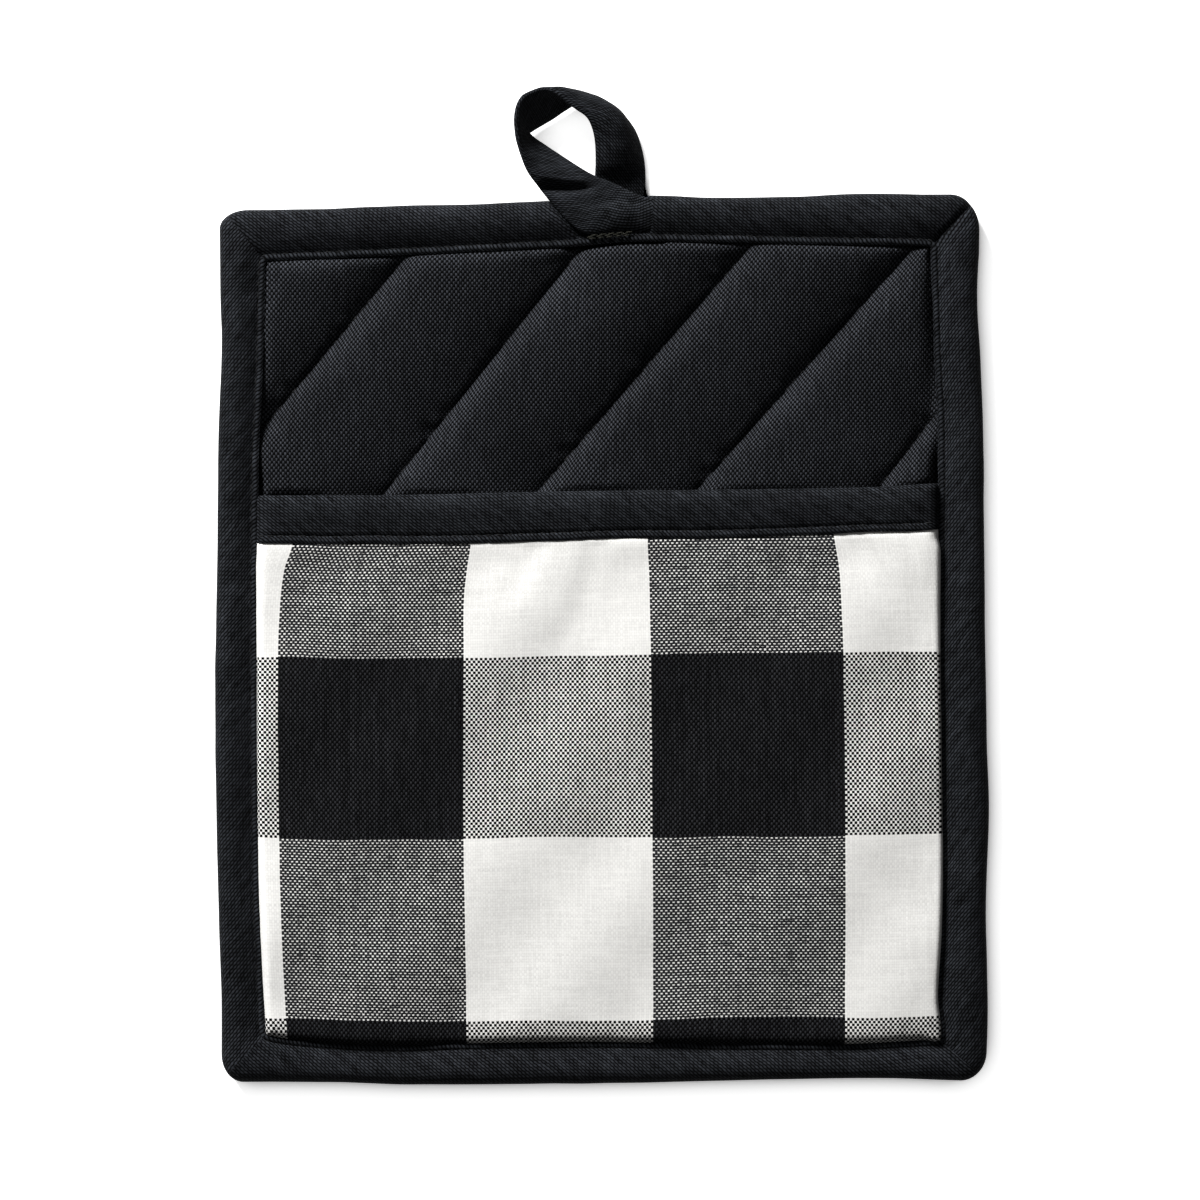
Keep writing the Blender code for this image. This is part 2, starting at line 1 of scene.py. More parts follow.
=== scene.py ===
import math
from functools import partial
import bpy
import numpy as np
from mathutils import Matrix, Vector


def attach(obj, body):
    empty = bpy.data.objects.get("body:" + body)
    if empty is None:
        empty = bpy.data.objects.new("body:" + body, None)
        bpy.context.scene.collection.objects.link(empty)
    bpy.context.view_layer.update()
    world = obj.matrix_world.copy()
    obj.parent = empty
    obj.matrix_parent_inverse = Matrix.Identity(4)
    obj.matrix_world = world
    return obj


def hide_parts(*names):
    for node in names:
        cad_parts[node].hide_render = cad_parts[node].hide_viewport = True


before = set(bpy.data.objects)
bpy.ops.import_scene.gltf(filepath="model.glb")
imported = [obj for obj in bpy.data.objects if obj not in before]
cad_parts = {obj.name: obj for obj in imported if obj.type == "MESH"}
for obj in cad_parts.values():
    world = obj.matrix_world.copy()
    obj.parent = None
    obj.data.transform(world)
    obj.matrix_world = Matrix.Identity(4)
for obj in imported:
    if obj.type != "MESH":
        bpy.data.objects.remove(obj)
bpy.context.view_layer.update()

mm = 0.001
print("frame loaded")

# All lengths are in millimetres but the studio's, in the same axes as the solids

# Edge of the whole thing and inner edge of its binding: place along the side, position
outerEdge = {
    "left": ((-122, -101.2), (-105, -101.4), (-84, -102.1), (-57, -102.7), (-30, -103.0),
             (8, -102.4), (38, -102.1), (62, -101.3), (80, -101.6), (92, -101.7)),
    "right": ((-126, 102.3), (-112, 102.7), (-85, 102.2), (-60, 103.0), (-42, 102.4),
              (0, 101.8), (38, 101.5), (60, 100.7), (77, 99.8), (88, 100.4)),
    "top": ((-92, 99.5), (-73, 99.8), (-55, 100.6), (-35, 101.0), (-15, 101.9),
            (15, 103.3), (28, 102.8), (50, 103.0), (68, 103.8), (88, 103.6)),
    "bottom": ((-91, -132.5), (-70, -132.7), (-52, -133.2), (-20, -133.1), (10, -132.8),
               (30, -132.3), (52, -131.8), (75, -131.6), (92, -132.1)),
}
innerEdge = {
    "left": ((-120, -89.4), (-80, -91.2), (-20, -91.8), (28, -91.5), (60, -90.2), (87, -89.6)),
    "right": ((-118, 89.7), (-110, 88.8), (-92, 89.7), (-71, 90.1), (-42, 89.7),
              (-12, 89.4), (43, 89.4), (61, 88.4), (90, 87.5)),
    "top": ((-89, 86.0), (-53, 87.5), (-7, 89.9), (10, 91.2), (42, 90.7), (88, 89.9)),
    "bottom": ((-89, -120.0), (-83, -121.0), (-57, -122.7), (-35, -122.1), (-7, -121.7),
               (13, -121.9), (63, -122.3), (90, -121.0)),
}
pocketEdge = ((-92, 23.5), (-57, 23.6), (-11, 24.6), (26, 25.0), (71, 25.7), (92, 27.0))

# Two sides that meet, radii of the outer corner, how deep its mitre sinks and how sharply
corners = (
    ("left", "top", 7.4, 4.6, 0.3, 0.5),
    ("top", "right", 7.4, 9.5, 0.8, 1.8),
    ("right", "bottom", 6.6, 7.6, 0.3, 0.4),
    ("bottom", "left", 5.6, 7.2, -0.3, -0.3),
)

# Quilting seams: x at the lower height, x at the upper height
quilting = {
    "lowerHeight": 24.0, "upperHeight": 90.0, "leanBelow": 0.79,
    "seams": ((-150.0, -98.0), (-105.0, -49.8), (-58.1, -5.0), (-17.7, 39.6), (24.3, 83.4),
              (72.5, 123.5), (117.0, 170.0), (162.0, 215.0), (207.0, 260.0)),
    "seamHeight": 2.7, "seamAtTop": 6.5, "crown": 8.8, "crownAtMouth": 7.1, "crownAt": 0.34,
    "toLight": (3.6, 0.8), "fromLight": (2.0, 0.78),
    "backGroove": 1.9, "backGrooveHalf": 5.5,
}


def smooth(start, end, value):
    t = np.clip((value - start) / (end - start), 0.0, 1.0)
    return t * t * (3 - 2 * t)


def blend(a, b, t):
    return a + (b - a) * t


def running(steps):
    # Distance travelled at each point, from the steps between them
    return np.concatenate([[0], np.cumsum(steps)])


def unit(vectors):
    return vectors / np.linalg.norm(vectors, axis=1)[:, None]


def curveAt(rows, where, column=1):
    # One smooth curve through a table's points
    rows = np.array(rows, float)
    places, values = rows[:, 0], rows[:, column]
    where = np.clip(where, places[0], places[-1])
    i = np.clip(np.searchsorted(places, where, side="right") - 1, 0, len(rows) - 2)
    before = np.maximum(np.arange(len(rows)) - 1, 0)
    after = np.minimum(np.arange(len(rows)) + 1, len(rows) - 1)
    slopes = (values[after] - values[before]) / (places[after] - places[before])
    span = places[i + 1] - places[i]
    t = (where - places[i]) / span
    return (values[i] * (2 * t**3 - 3 * t**2 + 1) + values[i + 1] * (3 * t**2 - 2 * t**3)
            + slopes[i] * span * (t**3 - 2 * t**2 + t) + slopes[i + 1] * span * (t**3 - t**2))


def ripple(u, v, seed):
    # Smooth random bumps between -1 and 1, about one unit across
    table = np.random.default_rng(seed).uniform(-1, 1, (256, 256))
    u, v = np.broadcast_arrays(np.asarray(u, float), np.asarray(v, float))
    i, j = np.floor(u).astype(int), np.floor(v).astype(int)
    a, b = u - i, v - j
    a, b = a * a * (3 - 2 * a), b * b * (3 - 2 * b)
    near = blend(table[i % 256, j % 256], table[(i + 1) % 256, j % 256], a)
    far = blend(table[i % 256, (j + 1) % 256], table[(i + 1) % 256, (j + 1) % 256], a)
    return blend(near, far, b)


def cornerAt(edges, first, second):
    upright, level = (first, second) if first in ("left", "right") else (second, first)
    x = edges[upright][-1 if level == "top" else 0][1]
    for _ in range(4):
        y = float(curveAt(edges[level], x))
        x = float(curveAt(edges[upright], y))
    return x, y


def edgeDistances(edges, x, y):
    # How far a place lies inside the left, right, bottom and top edges
    return (x - curveAt(edges["left"], y), curveAt(edges["right"], y) - x,
            y - curveAt(edges["bottom"], x), curveAt(edges["top"], x) - y)


def frameDepth(x, y):
    # How far a place lies inside the binding's inner edge
    return np.minimum.reduce(edgeDistances(innerEdge, x, y))


def belowMouth(x, y):
    return curveAt(pocketEdge, x) - y


def seamLine(seam, y):
    low, high = seam
    rise = quilting["upperHeight"] - quilting["lowerHeight"]
    above = (high - low) / rise
    lean = np.where(y > quilting["lowerHeight"], above, quilting["leanBelow"])
    return low + (y - quilting["lowerHeight"]) * lean, lean


def seamSpan(x, y):
    left = np.full(np.shape(x), 1e9)
    right = left.copy()
    for seam in quilting["seams"]:
        line, lean = seamLine(seam, y)
        across = (x - line) / np.hypot(1, lean)
        left = np.where(across >= 0, np.minimum(left, across), left)
        right = np.where(across < 0, np.minimum(right, -across), right)
    return left, right


def channelRise(place):
    # 0 on a seam and 1 on the crown, which lies left of the middle; place is 0 to 1 across
    q = quilting
    before = np.clip(place / q["crownAt"], 0, 1)
    after = np.clip((1 - place) / (1 - q["crownAt"]), 0, 1)
    (roundLeft, steepLeft), (roundRight, steepRight) = q["toLight"], q["fromLight"]
    return np.where(place < q["crownAt"], (1 - (1 - before) ** roundLeft) ** steepLeft,
                    (1 - (1 - after) ** roundRight) ** steepRight)


def channelPlace(x, y):
    left, right = seamSpan(x, y)
    return left / (left + right)


def mitreAway(x, y):
    # For each corner, the distance of a place from its mitre line
    for first, second, _, _, wide, sharp in corners:
        ox, oy = cornerAt(outerEdge, first, second)
        ix, iy = cornerAt(innerEdge, first, second)
        length = math.hypot(ox - ix, oy - iy)
        ux, uy = (ox - ix) / length, (oy - iy) / length
        along = np.clip((x - ix) * ux + (y - iy) * uy, 0, length)
        yield np.hypot(x - ix - along * ux, y - iy - along * uy), along / length, wide, sharp


def mitreDip(x, y):
    return np.maximum.reduce([
        wide * (1 - smooth(3.0, 7.0, away)) for away, _, wide, _ in mitreAway(x, y)
    ] + [np.zeros(np.shape(x))])


# The front end of the loop lies over the top binding, and its back end under it. A pair is where
# the end's edge starts and where it is reached in full
loopEnds = {
    "slantHigh": -13.9, "slantLow": -6.0, "slantFrom": 101.8, "slantDrop": 9.3,
    "frontRight": 11.7, "frontFoot": (82.0, 87.0),
    "backLeft": (-5.9, -2.4), "backRight": (11.8, 15.3), "backFoot": (91.5, 95.0),
}


def tuck(x, y, room=0.0):
    # 1 where the front end lies over the binding
    ends = loopEnds
    down = np.clip((ends["slantFrom"] - y) / ends["slantDrop"], -0.6, 1.15)
    slant = blend(ends["slantHigh"], ends["slantLow"], down) - room
    right = 1 - smooth(0.0, 1.2, x - ends["frontRight"] - room)
    return smooth(-1.8, 0.4, x - slant) * right * smooth(*ends["frontFoot"], y)


def tail(x, y, room=0.0):
    # 1 where the back end lies under it
    (a, b), (c, d), (e, f) = (loopEnds[k] for k in ("backLeft", "backRight", "backFoot"))
    left = smooth(a - room, b - room, x)
    right = 1 - smooth(c + room, d + room, x)
    return left * right * smooth(e - room, f - room, y)


def finishMesh(name, points, faces, uvQuads, material):
    mesh = bpy.data.meshes.new(name)
    mesh.from_pydata(points * mm, [], faces)
    layer = mesh.uv_layers.new(name="cloth")
    layer.data.foreach_set("uv", np.asarray(uvQuads, np.float32).ravel())
    mesh.shade_smooth()
    mesh.validate()
    thing = bpy.data.objects.new(name, mesh)
    thing.data.materials.append(material)
    bpy.context.scene.collection.objects.link(thing)
    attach(thing, "root")
    return thing


def gridFaces(rows, columns, ring=False):
    r, c = np.meshgrid(np.arange(rows - 1), np.arange(columns - (0 if ring else 1)), indexing="ij")
    after = (c + 1) % columns
    quads = np.stack([r * columns + c, r * columns + after,
                      (r + 1) * columns + after, (r + 1) * columns + c], -1)
    return quads.reshape(-1, 4)


def quadCorners(uv, ring=False):
    # The four corners' places in the cloth, for every cell of a grid
    if ring:
        uv = np.concatenate([uv, uv[:, :1]], 1)
    return np.stack([uv[:-1, :-1], uv[:-1, 1:], uv[1:, 1:], uv[1:, :-1]], 2)


def clothSheet(name, points, uvQuads, thickness, material, ring=False, flip=False):
    rows, columns = points.shape[:2]
    faces = gridFaces(rows, columns, ring)
    uvQuads = uvQuads.reshape(-1, 4, 2)
    if flip:
        faces, uvQuads = faces[:, ::-1], uvQuads[:, ::-1]
    thing = finishMesh(name, points.reshape(-1, 3), faces.tolist(), uvQuads, material)
    solid = thing.modifiers.new("clothThickness", "SOLIDIFY")
    solid.thickness = thickness * mm
    solid.offset = 0
    return thing


def hexColour(code):
    # sRGB hex to linear
    parts = [int(code[i:i + 2], 16) / 255 for i in (1, 3, 5)]
    return [c / 12.92 if c <= 0.04045 else ((c + 0.055) / 1.055) ** 2.4 for c in parts] + [1]


def addNode(tree, kind, inputs=(), output=0, **settings):
    # A second word in the kind is its operation. Inputs are in order, or by name or number: a
    # socket is linked, a hex colour is turned to linear, and anything else is set as it is
    kind, _, operation = kind.partition(" ")
    node = tree.nodes.new("ShaderNode" + kind)
    if operation:
        node.operation = operation
    for setting, value in settings.items():
        setattr(node, setting, value)
    named = inputs if isinstance(inputs, dict) else dict(enumerate(inputs))
    for place, source in named.items():
        if isinstance(source, bpy.types.NodeSocket):
            tree.links.new(source, node.inputs[place])
        else:
            value = hexColour(source) if isinstance(source, str) else source
            node.inputs[place].default_value = value
    return node.outputs[output] if node.outputs else None


def newMaterial(name):
    material = bpy.data.materials.new(name)
    material.use_nodes = True
    material.node_tree.nodes.clear()
    return material, partial(addNode, material.node_tree)


def plainWeave(add, weave, dyed=None):
    # Threads one over, one under: each has a round back and rises over every other crossing
    place = add("UVMap", uv_map="cloth")
    drift = add("TexNoise", {"Vector": place, "Scale": weave["wanderScale"], "Detail": 2.0},
                "Color", noise_dimensions="2D")
    drift = add("VectorMath SUBTRACT", (drift, (0.5, 0.5, 0.5)))
    moved = add("VectorMath MULTIPLY_ADD", (drift, (weave["wander"],) * 3, place))
    pulled = add("VectorMath MULTIPLY", (moved, weave["pulled"]))
    turned = add("VectorRotate", {"Vector": pulled, "Angle": weave["turn"]},
                 rotation_type="Z_AXIS")
    parts = add("SeparateXYZ", (turned,)).node.outputs
    u = add("Math DIVIDE", (parts[0], weave["warpSpacing"]))
    v = add("Math DIVIDE", (parts[1], weave["weftSpacing"]))
    warpIndex, weftIndex = add("Math FLOOR", (u,)), add("Math FLOOR", (v,))
    across, along = (add("Math SUBTRACT", (add("Math SUBTRACT", (t, index)), 0.5))
                     for t, index in ((u, warpIndex), (v, weftIndex)))
    odd = add("Math MODULO", (add("Math ADD", (warpIndex, weftIndex)), 2.0))
    sign = add("Math SUBTRACT", (add("Math MULTIPLY", (add("Math ABSOLUTE", (odd,)), 2.0)), 1.0))

    def threadHeight(offset, ahead, crimp):
        # The round back of a thread, which goes up and down over the crossings
        square = add("Math MULTIPLY", (offset, add("Math MULTIPLY", (offset, 4.0))))
        fall = add("Math MULTIPLY", (square, weave["roundness"]))
        back = add("Math SQRT", (add("Math SUBTRACT", (1.0, fall)),))
        wave = add("Math COSINE", (add("Math MULTIPLY", (ahead, math.pi)),))
        return add("Math MULTIPLY_ADD", (add("Math MULTIPLY", (sign, wave)), crimp, back))

    def yarn(index, ahead, seed):
        # Uneven yarn: each thread has its own tone, and thick and thin places along it
        own = add("TexWhiteNoise", {"W": add("Math ADD", (index, seed))}, "Value",
                  noise_dimensions="1D")
        spot = add("CombineXYZ", (add("Math MULTIPLY", (index, weave["yarnStep"])),
                                  add("Math MULTIPLY", (ahead, weave["slubScale"])), seed))
        slub = add("TexNoise", {"Vector": spot, "Scale": 1.0, "Detail": 3.0, "Roughness": 0.6},
                   "Fac")
        slub = add("Math MULTIPLY_ADD", (slub, weave["slubTone"],
                                         weave["slubBase"] - weave["ownTone"] / 2))
        return add("Math MULTIPLY_ADD", (own, weave["ownTone"], slub))

    warpYarn = yarn(warpIndex, v, weave["warpSeed"])
    weftYarn = yarn(weftIndex, u, weave["weftSeed"])
    warp = add("Math ADD", (threadHeight(across, along, weave["crimp"]), weave["warpProud"]))
    warp = add("Math MULTIPLY_ADD", (warpYarn, weave["slub"], warp))
    weft = threadHeight(along, across, -weave["crimp"])
    weft = add("Math MULTIPLY_ADD", (weftYarn, weave["slub"], weft))
    made = {"place": place}
    if dyed:
        blackWarp, blackWeft = dyed(warpIndex, weftIndex)
        warp = add("Math MULTIPLY_ADD", (blackWarp, weave["blackLead"], warp))
        weft = add("Math MULTIPLY_ADD", (blackWeft, weave["blackLead"], weft))
        made["blackWarp"], made["blackWeft"] = blackWarp, blackWeft
    lead = add("Math SUBTRACT", (warp, weft))
    made["onTop"] = add("Math MULTIPLY_ADD", (lead, weave["crossing"], 0.5), use_clamp=True)
    made["height"] = add("Math MAXIMUM", (warp, weft))
    made["tone"] = add("Mix", {0: made["onTop"], 2: weftYarn, 3: warpYarn}, data_type="FLOAT")
    return made


def yarnLevel(add, made, weave):
    # How light a place on the cloth is painted: the yarn's own tone, painted shade in the low
    # places and a painted highlight on the tops by height, and a painted glint where a warp thread
    # lies on top
    level = add("Math MULTIPLY_ADD", (made["onTop"], weave["paintedWarpGlint"], weave["base"]))
    level = add("Math MULTIPLY_ADD", (made["height"], weave["paintedDepthShade"], level))
    return add("Math MULTIPLY_ADD", (made["tone"], weave["toneSpread"], level))


def threadSurface(add, colour, height, finish):
    bump = add("Bump", {"Height": height, "Distance": finish["relief"] * mm, "Strength": 1.0})
    surface = add("BsdfPrincipled", {
        "Base Color": colour, "Normal": bump, "Roughness": finish["roughness"],
        "Specular IOR Level": finish["specular"], "Sheen Weight": finish["sheen"],
        "Sheen Roughness": 0.5,
    })
    add("OutputMaterial", {"Surface": surface})


def blackWeave(name, weave):
    # Reactive-dyed cotton, woven plain: nearly black. The dull grey glint on each thread is a
    # painted highlight, with painted shade between the threads
    material, add = newMaterial(name)
    made = plainWeave(add, weave)
    patch = add("TexNoise", {"Vector": made["place"], "Scale": weave["patchScale"], "Detail": 3.0},
                "Fac", noise_dimensions="2D")
    level = add("Math MULTIPLY_ADD", (patch, weave["patchTone"], yarnLevel(add, made, weave)),
                use_clamp=True)
    colour = add("Mix", {0: level, 6: weave["dark"], 7: weave["light"]}, 2, data_type="RGBA")
    threadSurface(add, colour, made["height"], weave)
    return material


# Pad cloth: about 41 threads to the inch one way and 35 the other. Sizes are millimetres, and
# a scale is how many of a pattern's waves go to one millimetre, or to one thread for the slubs
padWeave = {
    "warpSpacing": 0.62, "weftSpacing": 0.73, "turn": 0.0, "pulled": (1.0, 1.0, 1.0),
    "wander": 0.8, "wanderScale": 0.09, "crimp": 0.42, "roundness": 0.96, "warpProud": 0.06,
    "crossing": 7.0, "slub": 0.15, "slubScale": 0.16, "slubTone": 1.6, "slubBase": -0.13,
    "yarnStep": 3.7, "warpSeed": 11.3, "weftSeed": 47.9, "patchScale": 0.035, "patchTone": 0.2,
    "ownTone": 0.12, "toneSpread": 0.3, "paintedDepthShade": 0.45, "paintedWarpGlint": 0.5, "base": -0.97,
    "dark": "#030304", "light": "#696c73", "relief": 0.15,
    "roughness": 0.9, "specular": 0.15, "sheen": 0.0,
}
# The strips are the same kind of cloth, cut at 45 degrees and pulled longer as they are sewn
stripWeave = dict(padWeave, warpSpacing=0.66, weftSpacing=0.66, turn=math.radians(-45),
                  pulled=(0.876, 1.11, 1.0), crimp=0.12, warpProud=0.5, paintedDepthShade=0.95,
                  paintedWarpGlint=0.4, base=-1.9, light="#64686f")
padCotton = blackWeave("black plain weave cotton, straight grain", padWeave)
stripCotton = blackWeave("black plain weave cotton, bias cut", stripWeave)

# Check cloth woven from yarn dyed first, with about 80 warp and 66 weft threads to a band. The
# dyed yarn is a little thicker than the bleached yarn
checkWeave = dict(padWeave, bandWidth=49.5, bandHeight=48.0, warpsToBand=80, weftsToBand=66,
                  crimp=0.5, warpProud=0.38, blackLead=0.3, relief=0.13, wander=0.25, slub=0.45,
                  ownTone=0.25, toneSpread=0.2, paintedDepthShade=0.45, paintedWarpGlint=0.4, base=-1.12,
                  light="#5a5b5f", whiteYarn="#fcfbf8", whiteShade="#dddcd9", whiteTone=0.5,
                  whitePaintedDepthShade=0.45, whiteBase=-0.3, whiteRelief=0.12, besideBlack=0.93,
                  paintedStreakShade=0.09, paintedStreakTurn=math.radians(-40), paintedStreakScale=(0.08, 0.75, 1))
checkWeave["warpSpacing"] = checkWeave["bandWidth"] / checkWeave["warpsToBand"]
checkWeave["weftSpacing"] = checkWeave["bandHeight"] / checkWeave["weftsToBand"]


def checkCloth(name, weave):
    # White yarn is bleached cotton, a little creamy; black yarn is dyed before weaving
    material, add = newMaterial(name)

    def dyed(warpIndex, weftIndex):
        bands = []
        for index, count in ((warpIndex, weave["warpsToBand"]), (weftIndex, weave["weftsToBand"])):
            band = add("Math DIVIDE", (add("Math ADD", (index, 0.5)), count))
            band = add("Math MODULO", (add("Math FLOOR", (band,)), 2.0))
            bands.append(add("Math ABSOLUTE", (band,)))
        return add("Math SUBTRACT", (1.0, bands[0])), bands[1]

    made = plainWeave(add, weave, dyed)
    blackWarp, blackWeft = made["blackWarp"], made["blackWeft"]
    black = add("Mix", {0: made["onTop"], 2: blackWeft, 3: blackWarp}, data_type="FLOAT")
    mixed = add("Math ABSOLUTE", (add("Math SUBTRACT", (blackWarp, blackWeft)),))
    # The white is painted darker in the low places between threads and lighter on their tops, a
    # painted shade and highlight, besides each thread's own tone
    level = add("Math MULTIPLY_ADD", (made["height"], weave["whitePaintedDepthShade"], weave["whiteBase"]))
    level = add("Math MULTIPLY_ADD", (made["tone"], weave["whiteTone"], level), use_clamp=True)
    white = add("Mix", {0: level, 6: weave["whiteShade"], 7: weave["whiteYarn"]}, 2,
                data_type="RGBA")
    # The black yarn takes the same painted highlight, shade and glint as the plain black cloth
    blackLevel = add("Math MAXIMUM", (yarnLevel(add, made, weave), 0.0), use_clamp=True)
    dark = add("Mix", {0: blackLevel, 6: weave["dark"], 7: weave["light"]}, 2, data_type="RGBA")
    # A white thread between black ones looks greyer, for the light inside it is soaked up.
    # Faint slanting streaks of painted shade, like that of fine creases, lie over the white
    streakShadePlace = add("Mapping", {"Vector": made["place"], "Rotation": (0, 0, weave["paintedStreakTurn"]),
                              "Scale": weave["paintedStreakScale"]})
    streakShadeNoise = add("TexNoise", {"Vector": streakShadePlace, "Scale": 1.0, "Detail": 2.0},
                 noise_dimensions="2D")
    paintedShadeFactor = add("Math MULTIPLY_ADD", (streakShadeNoise, weave["paintedStreakShade"], 1.0 - weave["paintedStreakShade"] * 0.55))
    paintedShadeFactor = add("Math MULTIPLY_ADD", (mixed, weave["besideBlack"] - 1.0, paintedShadeFactor))
    grey = add("VectorMath SCALE", {0: white, "Scale": paintedShadeFactor})
    colour = add("Mix", {0: black, 6: grey, 7: dark}, 2, data_type="RGBA")
    relief = add("Math MULTIPLY_ADD", (black, 1.0 - weave["whiteRelief"], weave["whiteRelief"]))
    relief = add("Math MULTIPLY", (made["height"], relief))
    threadSurface(add, colour, relief, weave)
    return material


checkCotton = checkCloth("black and white check cotton, yarn dyed", checkWeave)


def sewingThread(name, dark, light):
    # Spun polyester: a fine twist, with a soft shine on it
    finish = {"twistScale": 0.9, "relief": 0.05, "roughness": 0.6, "specular": 0.4, "sheen": 0.1}
    material, add = newMaterial(name)
    twist = add("TexWave", {"Vector": add("UVMap", uv_map="cloth"), "Scale": finish["twistScale"],
                            "Distortion": 0.6}, "Fac", bands_direction="DIAGONAL")
    # The twist is painted lighter on its crests and darker between them, a painted highlight and
    # shade that follow the bump
    colour = add("Mix", {0: twist, 6: dark, 7: light}, 2, data_type="RGBA")
    threadSurface(add, colour, twist, finish)
    return material


blackThread = sewingThread("black spun polyester thread", "#0a0a0c", "#2c2d31")
oliveThread = sewingThread("olive spun polyester thread", "#15150f", "#3a3a2e")
print("materials made")


# Pad: inset from the outline, heights of its margins and how soon it rises from them, steps of
# its mesh, and its small forms, each with a depth and a size
padPiece = {
    "inset": 3.2, "cornerCut": 11.5, "marginTop": 5.2, "marginLow": 1.5, "gap": 0.3,
    "rise": 1.2, "riseAtTop": 0.42, "seamRise": 3.5, "flattens": 50, "backRise": (0.7, 4.6),
    "tuckDrop": 2.3, "tailLift": 2.1, "tuckRoom": 4.0, "tailRoom": 3.0,
    "columnsToChannel": 44, "crowding": 0.09, "lowRows": (-132.0, 6.0, 2.6),
    "midRows": (83.0, 1.0), "topRows": (83.3, 92.5, 0.35), "hiddenRows": (93.0, 104.0, 2.0),
    "puckerDepth": 0.38, "puckerAt": 1.6, "puckerHalf": 1.8, "creaseDepth": 0.3,
    "creaseReach": 8, "swellDepth": 0.22, "edgeDepth": 0.16, "edgeReach": 4,
    "puckerSeed": 5, "creaseSeed": 6, "swellSeed": 7, "edgeSeed": 8,
    "channelWidth": 35.0, "acrossSeams": (0.77, -0.63),
}
# Pocket: height of its underside, gaps to the pad and the strip, cloth, and mesh. "AtMouth" is
# for the part under the strip, and "AtRight" for the part beside the right binding
pocketPiece = {
    "underside": 7.9, "margin": 4.4, "marginAtMouth": 3.2, "sag": 0.6, "sagAtMouth": 0.25,
    "rise": 0.65, "riseFrom": 0.1, "riseAtRight": 0.22, "soonerAtRight": 0.3,
    "marginAtRight": 0.5, "clear": 0.5, "sideClear": 0.4, "cloth": 1.0,
    "mouthDepth": 13.0, "mouthBackDepth": 12.0, "mouthGap": 0.4, "mouthHeight": 24.8,
    "underMouth": 1.8, "underEdge": 7.0, "underFoot": 5.0, "footHeight": -121.7,
    "columns": 230, "rows": 170, "crowdColumns": 0.1, "crowdRows": 0.05,
}
# Soft folds below the pocket's strip: upper end, lower end, half width, depth
pocketFolds = (
    (-16.0, 12.0, -26.0, -6.0, 5.0, 0.2),
    (-1.5, 12.0, -6.0, -8.0, 5.5, 0.22),
    (-6.0, -8.0, -13.0, -18.0, 6.0, 0.15),
    (-60.0, 12.0, -66.0, -2.0, 5.5, 0.2),
    (52.0, 14.0, 47.0, 0.0, 6.0, 0.25),
    (-40.0, -122.0, -37.0, -106.0, 6.0, 0.3),
    (28.0, -122.0, 33.0, -108.0, 6.0, 0.3),
)


def foldDip(x, y):
    dip = 0.0
    for x0, y0, x1, y1, half, depth in pocketFolds:
        length = math.hypot(x1 - x0, y1 - y0)
        ux, uy = (x1 - x0) / length, (y1 - y0) / length
        along = ((x - x0) * ux + (y - y0) * uy) / length
        across = np.abs((x - x0) * uy - (y - y0) * ux)
        fade = smooth(-0.3, 0.1, along) * (1 - smooth(0.6, 1.2, along))
        dip = dip + depth * fade * (1 - smooth(0.0, half, across))
    return dip


def pocketUnderside(x, y):
    p = pocketPiece
    v = belowMouth(x, y)
    past = v - p["mouthDepth"]  # below the strip
    sag = blend(p["sagAtMouth"], p["sag"], smooth(0, 8, past))
    sag = sag * (0.5 + 0.5 * np.cos(2 * math.pi * channelPlace(x, y)))
    inside = p["underside"] - sag - foldDip(x, y) * smooth(0, 2, past)
    # Its right edge comes up steeply beside the binding, which hides the slope from the light
    atRight = smooth(5.0, 1.5, curveAt(innerEdge["right"], y) - x) * smooth(1, 5, past)
    depth = np.maximum(frameDepth(x, y) - p["riseFrom"] + p["soonerAtRight"] * atRight, 0.0)
    rise = blend(p["rise"], p["riseAtRight"], atRight)
    margin = blend(p["marginAtMouth"], p["margin"], smooth(1, 6, past))
    margin = margin + p["marginAtRight"] * atRight - mitreDip(x, y)
    return blend(margin, inside, 1 - np.exp(-depth / rise))


def padTop(x, y):
    p, c, q = padPiece, pocketPiece, quilting
    v = belowMouth(x, y)
    depth = np.maximum(frameDepth(x, y) - c["riseFrom"], 0.0)
    crown = blend(q["crown"], q["crownAtMouth"], smooth(-p["flattens"], 0, v))
    head = np.maximum(curveAt(innerEdge["top"], x) - y, 0.0)
    seam = blend(q["seamAtTop"], q["seamHeight"], 1 - np.exp(-head / p["seamRise"]))
    quilt = blend(seam, crown, channelRise(channelPlace(x, y)))
    free = p["marginTop"] - p["tuckDrop"] * tuck(x, y, p["tuckRoom"]) - mitreDip(x, y)
    clear = c["sideClear"] * smooth(0, 1.5, depth) * (1 - smooth(10, 24, depth))
    strip = p["gap"] + c["mouthGap"] + c["cloth"] + clear
    layers = blend(strip, c["clear"] + clear, smooth(0.5, 3, v - c["mouthDepth"]))
    under = pocketUnderside(x, y) - layers
    # The pad comes up at once along its upper edge, where the strip is sewn over the filling
    settled = 1 - np.exp(-np.minimum(depth / p["rise"], head / p["riseAtTop"]))
    margin = blend(free, c["marginAtMouth"] - strip, smooth(-12, -0.3, v))
    above = blend(margin, quilt, settled)
    below = np.where(depth == 0, under, np.minimum(blend(free, quilt, settled), under))
    return np.where(v < -0.3, above, below)


def padLow(x, y):
    p = padPiece
    away = np.minimum(*seamSpan(x, y)) / quilting["backGrooveHalf"]
    groove = quilting["backGroove"] * np.maximum(1 - away, 0.0)
    margin = p["marginLow"] + p["tailLift"] * tail(x, y, p["tailRoom"])
    return blend(margin, groove, smooth(*p["backRise"], frameDepth(x, y)))


